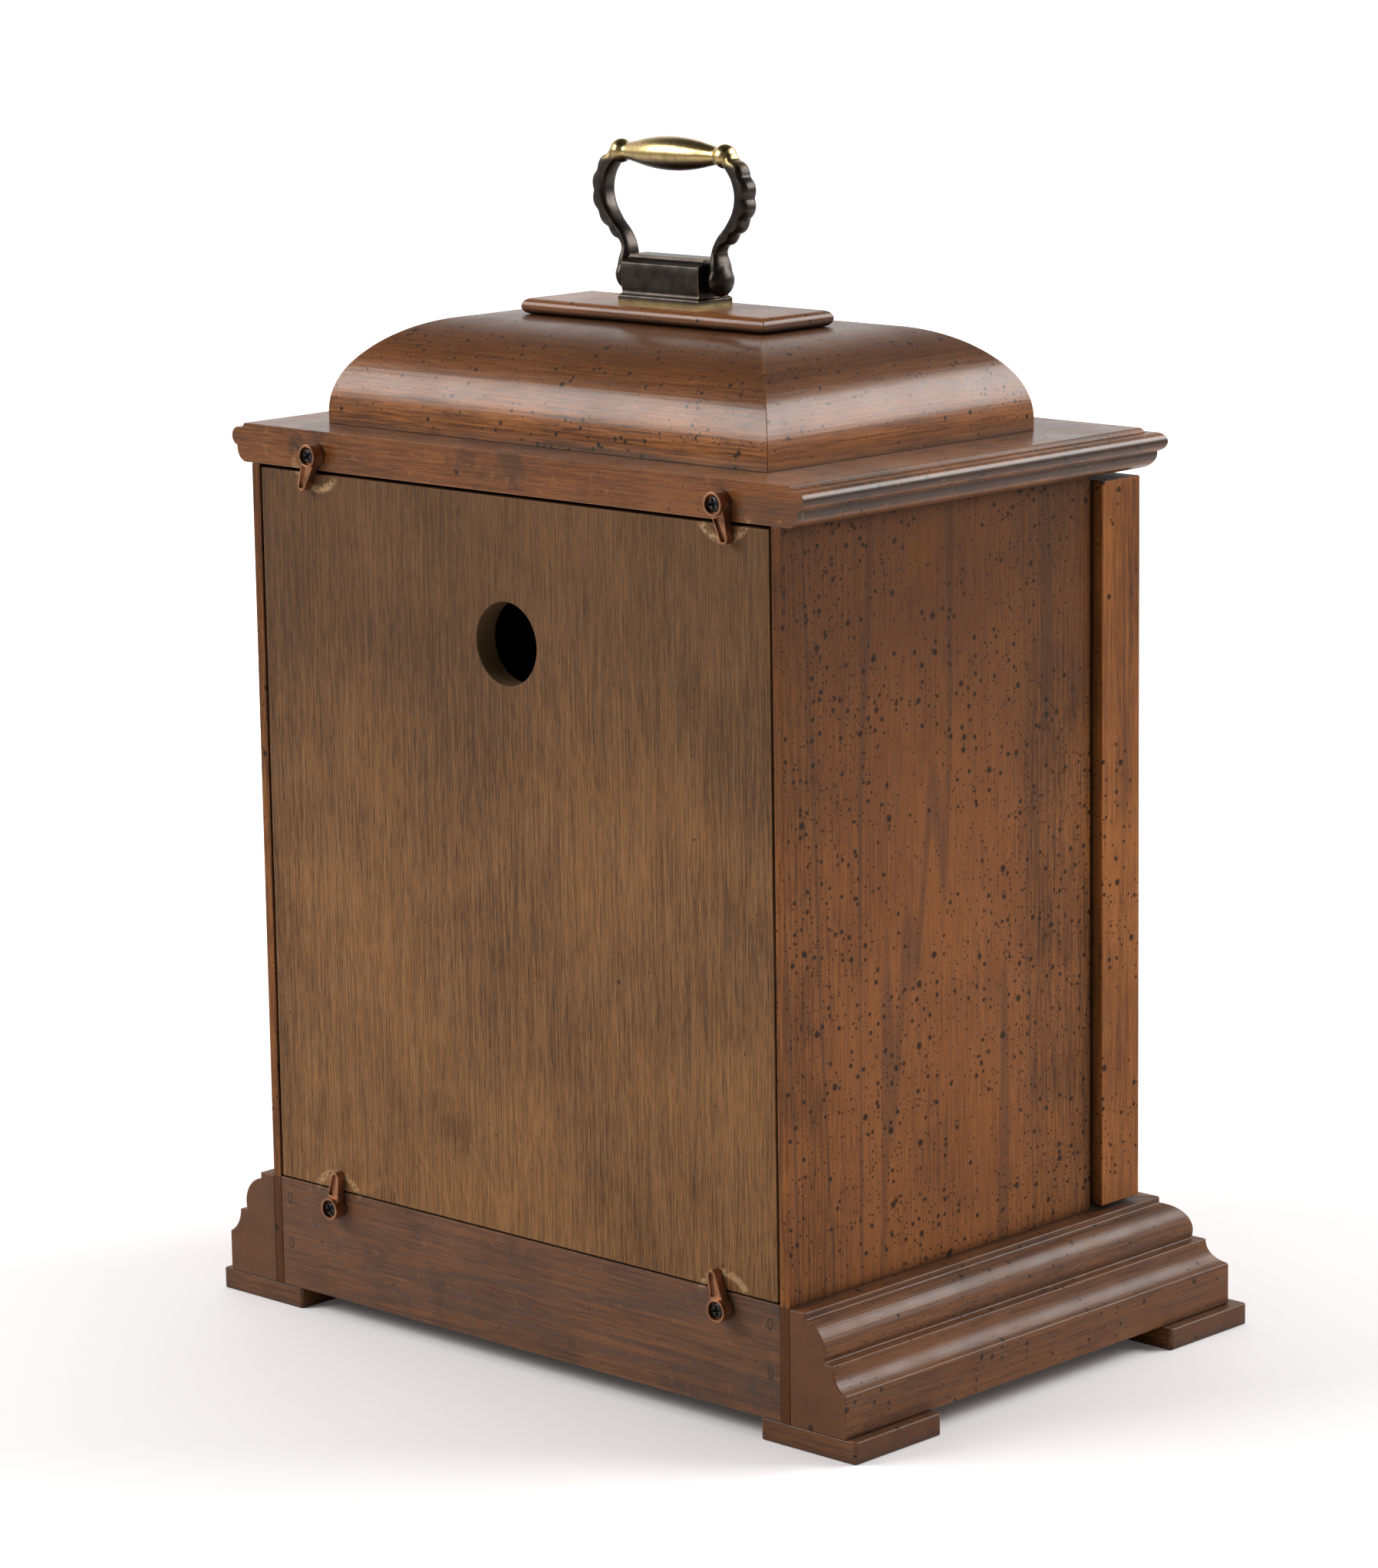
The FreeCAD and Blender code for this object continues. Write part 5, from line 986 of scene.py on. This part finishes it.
# How far in from the chapter ring's rim the numerals' middle, the minutes and the circles lie.
NUMERALS_IN = 14.5 * MM
MINUTES_IN = 4.6 * MM
CIRCLES_IN = (1.9 * MM, 4.9 * MM, 23.6 * MM)
MINUTE_LENGTH = 2.2
CIRCLE_WIDTH = 0.35


def numeral_strokes(text):
    """Strokes ((x, y), (x, y), width) of a Roman numeral, centred, in millimetres."""
    total = sum(STROKES[letter][0] for letter in text)
    cursor = -total / 2
    strokes = []
    for letter in text:
        wide, lines = STROKES[letter]
        for *ends, thick in lines:
            strokes.append([(x + cursor, (y - 0.5) * NUMERAL_HEIGHT) for x, y in ends] + [thick])
        cursor += wide
    for level in (-NUMERAL_HEIGHT / 2, NUMERAL_HEIGHT / 2):
        strokes.append([(-total / 2 + SERIF, level), (total / 2 - SERIF, level), SERIF])
    return strokes


class CLOCK_OT_dial(ClockPiece, bpy.types.Operator):
    """Roman numerals and minute track in black wax on the chapter ring"""

    bl_idname = "clock.dial"
    bl_label = "Dial"

    def execute(self, context):
        low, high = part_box("chapter_ring")
        centre = (low + high) / 2
        outer = (high.x - low.x) / 2
        front = low.y - 0.06 * MM
        back = low.y + 0.2 * MM
        shape = bmesh.new()

        def place(angle, radius, x, y):
            """A point x to the side and y outwards from a radius at an angle from the top."""
            out = radius + y * MM
            return (centre.x + out * math.sin(angle) + x * MM * math.cos(angle),
                    centre.z + out * math.cos(angle) - x * MM * math.sin(angle))

        for hour, text in enumerate(ROMAN, 1):
            angle = math.radians(30 * hour)
            for start, end, thick in numeral_strokes(text):
                start, end = Vector(start), Vector(end)
                side = (end - start).normalized().orthogonal() * thick / 2
                quad = (start + side, start - side, end - side, end + side)
                bar_shape(shape, [place(angle, outer - NUMERALS_IN, *spot) for spot in quad], back, front)
        for minute in range(60):
            angle = math.radians(6 * minute)
            half = (0.8 if minute % 5 else 1.5) / 2
            quad = ((-half, 0.0), (half, 0.0), (half, MINUTE_LENGTH), (-half, MINUTE_LENGTH))
            bar_shape(shape, [place(angle, outer - MINUTES_IN, *spot) for spot in quad], back, front)
        for inset in CIRCLES_IN:
            for step in range(120):
                a, b = (math.radians(3 * step), math.radians(3 * (step + 1)))
                quad = ((a, 0.0), (b, 0.0), (b, CIRCLE_WIDTH), (a, CIRCLE_WIDTH))
                bar_shape(shape, [place(turn, outer - inset, 0.0, y) for turn, y in quad], back, front)
        bmesh.ops.recalc_face_normals(shape, faces=shape.faces)
        mesh = to_mesh("dial_numerals", shape)
        add_piece("dial_numerals", mesh, MATERIALS["numeral_wax"], "case")
        for name, width in (("chapter_ring", 0.15), ("spandrels", 0.35), ("dial_plate", 0.2),
                            ("hour_hand", 0.15), ("minute_hand", 0.15)):
            dress(name, width * MM)
        return {"FINISHED"}


class CLOCK_OT_nails(ClockPiece, bpy.types.Operator):
    """Filled nail holes at the ends of the rail under the back"""

    bl_idname = "clock.nails"
    bl_label = "Filled nails"

    def execute(self, context):
        low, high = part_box("base_back_rail")
        rim = [(0.0, -0.25), (0.9, -0.2), (1.25, 0.05), (1.6, 0.02), (1.65, -0.3), (0.0, -0.35)]
        rim = [(radius * MM, along * MM) for radius, along in rim]
        oval = Matrix.Rotation(-math.pi / 2, 4, "X") @ Matrix.Diagonal((0.75, 1.35, 1.0, 1.0))
        shapes = []
        for across in (4.5 * MM - high.x, high.x - 4.5 * MM):
            for level in (0.40, 0.82):
                spot = Vector((across, high.y, low.z + level * (high.z - low.z)))
                shapes.append(lathe_mesh(rim, 20, Matrix.Translation(spot) @ oval))
        mesh = to_mesh("rail_nail_fillers", *shapes)
        mesh.shade_smooth()
        add_piece("rail_nail_fillers", mesh, MATERIALS["black_steel"], "case")
        return {"FINISHED"}


# ---------------------------------------------------------------- stage

# The camera of the photograph, in the clock's frame: its place, its line of sight and its downward axis.
CAMERA_AT = Vector((-1.2366, 1.3066, 0.5477))
CAMERA_FORWARD = Vector((0.67783, -0.70893, -0.19484))
CAMERA_DOWN = Vector((-0.12390, 0.15108, -0.98073))
PHOTO_SIZE = (1796, 2044)
FOCAL_PIXELS = 6830.6
SENSOR = 36.0
AWAY = Vector((CAMERA_FORWARD.x, CAMERA_FORWARD.y, 0.0)).normalized()
LEFT = Vector((-AWAY.y, AWAY.x, 0.0))
UP = Vector((0.0, 0.0, 1.0))


def area_light(name, at, target, size, power, mirrored):
    """A soft box that faces a target; mirrored says whether shiny surfaces show it."""
    lamp = bpy.data.lights.new(name, "AREA")
    lamp.shape = "RECTANGLE"
    lamp.size, lamp.size_y = size
    lamp.energy = power
    holder = bpy.data.objects.new(name, lamp)
    holder.location = at
    holder.rotation_euler = (target - at).to_track_quat("-Z", "Y").to_euler()
    holder.visible_glossy = mirrored
    bpy.context.scene.collection.objects.link(holder)


def seen_rays(graph):
    """Masks of the rays that show the surroundings: straight or through glass, and mirrored."""
    path = graph.node("ShaderNodeLightPath").outputs
    return graph.math("ADD", path["Is Camera Ray"], path["Is Transmission Ray"]), path["Is Glossy Ray"]


class CLOCK_OT_stage(ClockPiece, bpy.types.Operator):
    """Pale floor, soft lights, white surroundings and the camera"""

    bl_idname = "clock.stage"
    bl_label = "Stage"

    def execute(self, context):
        stage = context.scene.clock_stage
        bpy.ops.mesh.primitive_plane_add(size=40.0, location=(0.0, 0.0, SOLID_BOX[0].z))
        floor = context.active_object
        floor.name = "studio_floor"
        floor.data.materials.append(self.floor_paper(stage))
        middle = (SOLID_BOX[0] + SOLID_BOX[1]) / 2
        lamps = (("soft_box_left", (1.45, -0.15, 0.85), (1.0, 0.8), stage.left_power, True),
                 ("soft_box_right", (-1.45, 0.25, 0.80), (1.0, 0.8), stage.right_power, True),
                 ("soft_box_top", (0.0, 0.3, 1.7), (1.5, 1.5), stage.top_power, False))
        for name, (left, away, up), size, power, mirrored in lamps:
            at = middle + LEFT * left + AWAY * away + UP * up
            area_light(name, at, middle, size, power, mirrored)
        self.white_room(context, stage)
        self.camera(context)
        context.scene.view_settings.view_transform = "Standard"
        return {"FINISHED"}

    def floor_paper(self, stage):
        """Pale paper that fades to white round the clock, and keeps its shadow."""
        material, g, shader, position = new_material("floor_paper")
        fibre = g.noise(position, 900.0, 2.0)
        pale = stage.floor_colour
        g.feed(shader.inputs["Base Color"], g.mix(fibre, tinted(pale, 0.985), tinted(pale, 1.0)))
        shader.inputs["Roughness"].default_value = 0.9
        shader.inputs["Emission Color"].default_value = (1.0, 1.0, 1.0, 1.0)
        direct, glossy = seen_rays(g)
        seen = g.math("ADD", direct, g.math("MULTIPLY", glossy, 0.1), clamp=True)
        far = g.vector("LENGTH", g.vector("MULTIPLY", position, (1.0, 1.0, 0.0)))
        lift = g.ramp(far, 0.30, 1.30, stage.floor_lift, 1.0)
        g.feed(shader.inputs["Emission Strength"], g.math("MULTIPLY", seen, lift))
        return material

    def white_room(self, context, stage):
        """White to the camera; in reflections, darker on the near side and overhead."""
        world = bpy.data.worlds.new("white_room")
        world.use_nodes = True
        g = Graph(world.node_tree)
        direct, glossy = seen_rays(g)
        sweep = g.node("ShaderNodeTexCoord").outputs["Generated"]
        white_side = g.ramp(g.vector("DOT_PRODUCT", sweep, AWAY), -0.3, 0.5, stage.room_shade, 1.0)
        overhead = g.ramp(g.height(sweep), 0.42, 0.70, 1.0, stage.ceiling)
        mirrored = g.math("MULTIPLY", glossy, g.math("MULTIPLY", white_side, overhead))
        unlit = g.math("SUBTRACT", 1.0, g.math("ADD", direct, glossy, clamp=True))
        strength = g.math("ADD", g.math("ADD", direct, mirrored, clamp=True),
                          g.math("MULTIPLY", unlit, stage.room_light))
        background = world.node_tree.nodes["Background"]
        background.inputs["Color"].default_value = (1.0, 1.0, 1.0, 1.0)
        g.feed(background.inputs["Strength"], strength)
        context.scene.world = world

    def camera(self, context):
        """The photograph's own view."""
        view = bpy.data.cameras.new("photo_view")
        holder = bpy.data.objects.new("photo_view", view)
        context.scene.collection.objects.link(holder)
        back = -CAMERA_FORWARD.normalized()
        right = (-CAMERA_DOWN).cross(back).normalized()
        up = back.cross(right)
        turn = Matrix((right, up, back)).transposed()
        holder.matrix_world = Matrix.Translation(CAMERA_AT) @ turn.to_4x4()
        view.sensor_width = SENSOR
        view.lens = SENSOR * FOCAL_PIXELS / max(PHOTO_SIZE)
        view.clip_start = 0.05
        view.clip_end = 60.0
        context.scene.camera = holder


# ---------------------------------------------------------------- settings

def colour_property(name, description, default):
    """A colour, linear red, green and blue."""
    return bpy.props.FloatVectorProperty(
        name=name, description=description, subtype="COLOR", size=3, min=0.0, max=1.0, default=default)


def place_property(name, description, default):
    """A place on the clock, in metres."""
    return bpy.props.FloatVectorProperty(
        name=name, description=description, subtype="TRANSLATION", unit="LENGTH", size=3, default=default)


def number_property(name, description, default, **kind):
    """A number, with its unit, subtype or limits."""
    return bpy.props.FloatProperty(name=name, description=description, default=default, **kind)


class ClockFinish(bpy.types.PropertyGroup):
    """Colours and wear of the clock."""

    stain_light: colour_property("Stain, light", "Cherry between the dark lines", (0.240, 0.086, 0.020))
    stain_dark: colour_property("Stain, dark", "Dark lines and patches of the cherry", (0.056, 0.019, 0.006))
    stain_red: colour_property("Stain, red", "Redder bands of the cherry", (0.138, 0.041, 0.013))
    # Also laid as painted shade in the hollows that ambient occlusion finds.
    glaze: colour_property("Glaze", "Dark glaze in hollows and drops", (0.020, 0.011, 0.007))
    bare_edge: colour_property("Rubbed edge", "Amber of the rubbed edges", (0.36, 0.155, 0.055))
    amber: colour_property("Amber", "Thin stain on the side", (0.120, 0.043, 0.004))
    bare_wood: colour_property("Bare wood", "Raw wood under the finish", (0.42, 0.26, 0.13))
    ply_light: colour_property("Plywood, light", "Light lines of the back panel", (0.245, 0.116, 0.042))
    ply_dark: colour_property("Plywood, dark", "Dark lines of the back panel", (0.058, 0.027, 0.011))
    bronze: colour_property("Bronze", "Darkened brass of the handle", (0.030, 0.023, 0.019))
    brass: colour_property("Brass", "Polished brass", (0.62, 0.45, 0.19))
    copper_tan: colour_property("Copper tan", "Tarnished turn buttons", (0.205, 0.088, 0.042))
    copper_light: colour_property("Copper, light", "Rubbed turn buttons", (0.50, 0.26, 0.14))
    blot: place_property("Blot", "Where a dark stain sits on the back panel", (0.028, BACK_FACE, 0.080))
    amber_patch: place_property(
        "Amber patch", "Where the stain on the side is thin", (SIDE_FACE, 0.0351, 0.2895))
    ink_spot: place_property(
        "Ink spot", "Where a dark stain sits on the top board's rear edge", (0.1016, BACK_FACE, 0.3111))
    edge_wear: number_property(
        "Edge wear", "How far the edges are rubbed through", 0.55, min=0.0, max=1.0, subtype="FACTOR")
    edge_softness: number_property("Edge softness", "Unit of the softened edges' width", MM, unit="LENGTH")


class ClockStage(bpy.types.PropertyGroup):
    """Light and floor."""

    floor_colour: colour_property("Floor", "Colour of the floor paper", (0.86, 0.835, 0.83))
    floor_lift: number_property("Floor lift", "Light that the camera sees from the floor itself", 0.03)
    room_light: number_property("Room light", "Light from the white room on the object", 0.30)
    room_shade: number_property("Room shade", "Brightness of the room's near side in reflections", 0.15)
    ceiling: number_property("Ceiling", "Brightness of the room's ceiling in reflections", 0.06)
    left_power: number_property("Left soft box", "Power in watts", 26.0, unit="POWER")
    right_power: number_property("Right soft box", "Power in watts", 26.0, unit="POWER")
    top_power: number_property("Top soft box", "Power in watts", 14.0, unit="POWER")


STEPS = (CLOCK_OT_finishes, CLOCK_OT_case, CLOCK_OT_handle, CLOCK_OT_turn_buttons, CLOCK_OT_door,
         CLOCK_OT_dial, CLOCK_OT_nails, CLOCK_OT_stage)


class CLOCK_PT_panel(bpy.types.Panel):
    """Lists the clock's steps in the sidebar"""

    bl_idname = "CLOCK_PT_panel"
    bl_label = "Bracket clock"
    bl_space_type = "VIEW_3D"
    bl_region_type = "UI"
    bl_category = "Clock"

    def draw(self, context):
        for step in STEPS:
            self.layout.operator(step.bl_idname)
        for group in (context.scene.clock_finish, context.scene.clock_stage):
            for name in group.__annotations__:
                self.layout.prop(group, name)


CLASSES = (ClockFinish, ClockStage) + STEPS + (CLOCK_PT_panel,)


def register():
    for item in CLASSES:
        bpy.utils.register_class(item)
    bpy.types.Scene.clock_finish = bpy.props.PointerProperty(type=ClockFinish)
    bpy.types.Scene.clock_stage = bpy.props.PointerProperty(type=ClockStage)


def unregister():
    del bpy.types.Scene.clock_stage
    del bpy.types.Scene.clock_finish
    for item in reversed(CLASSES):
        bpy.utils.unregister_class(item)


def main():
    """Run every step in order."""
    register()
    for step in STEPS:
        prefix, verb = step.bl_idname.split(".")
        getattr(getattr(bpy.ops, prefix), verb)()
    bpy.context.view_layer.update()


if __name__ == "__main__":
    main()
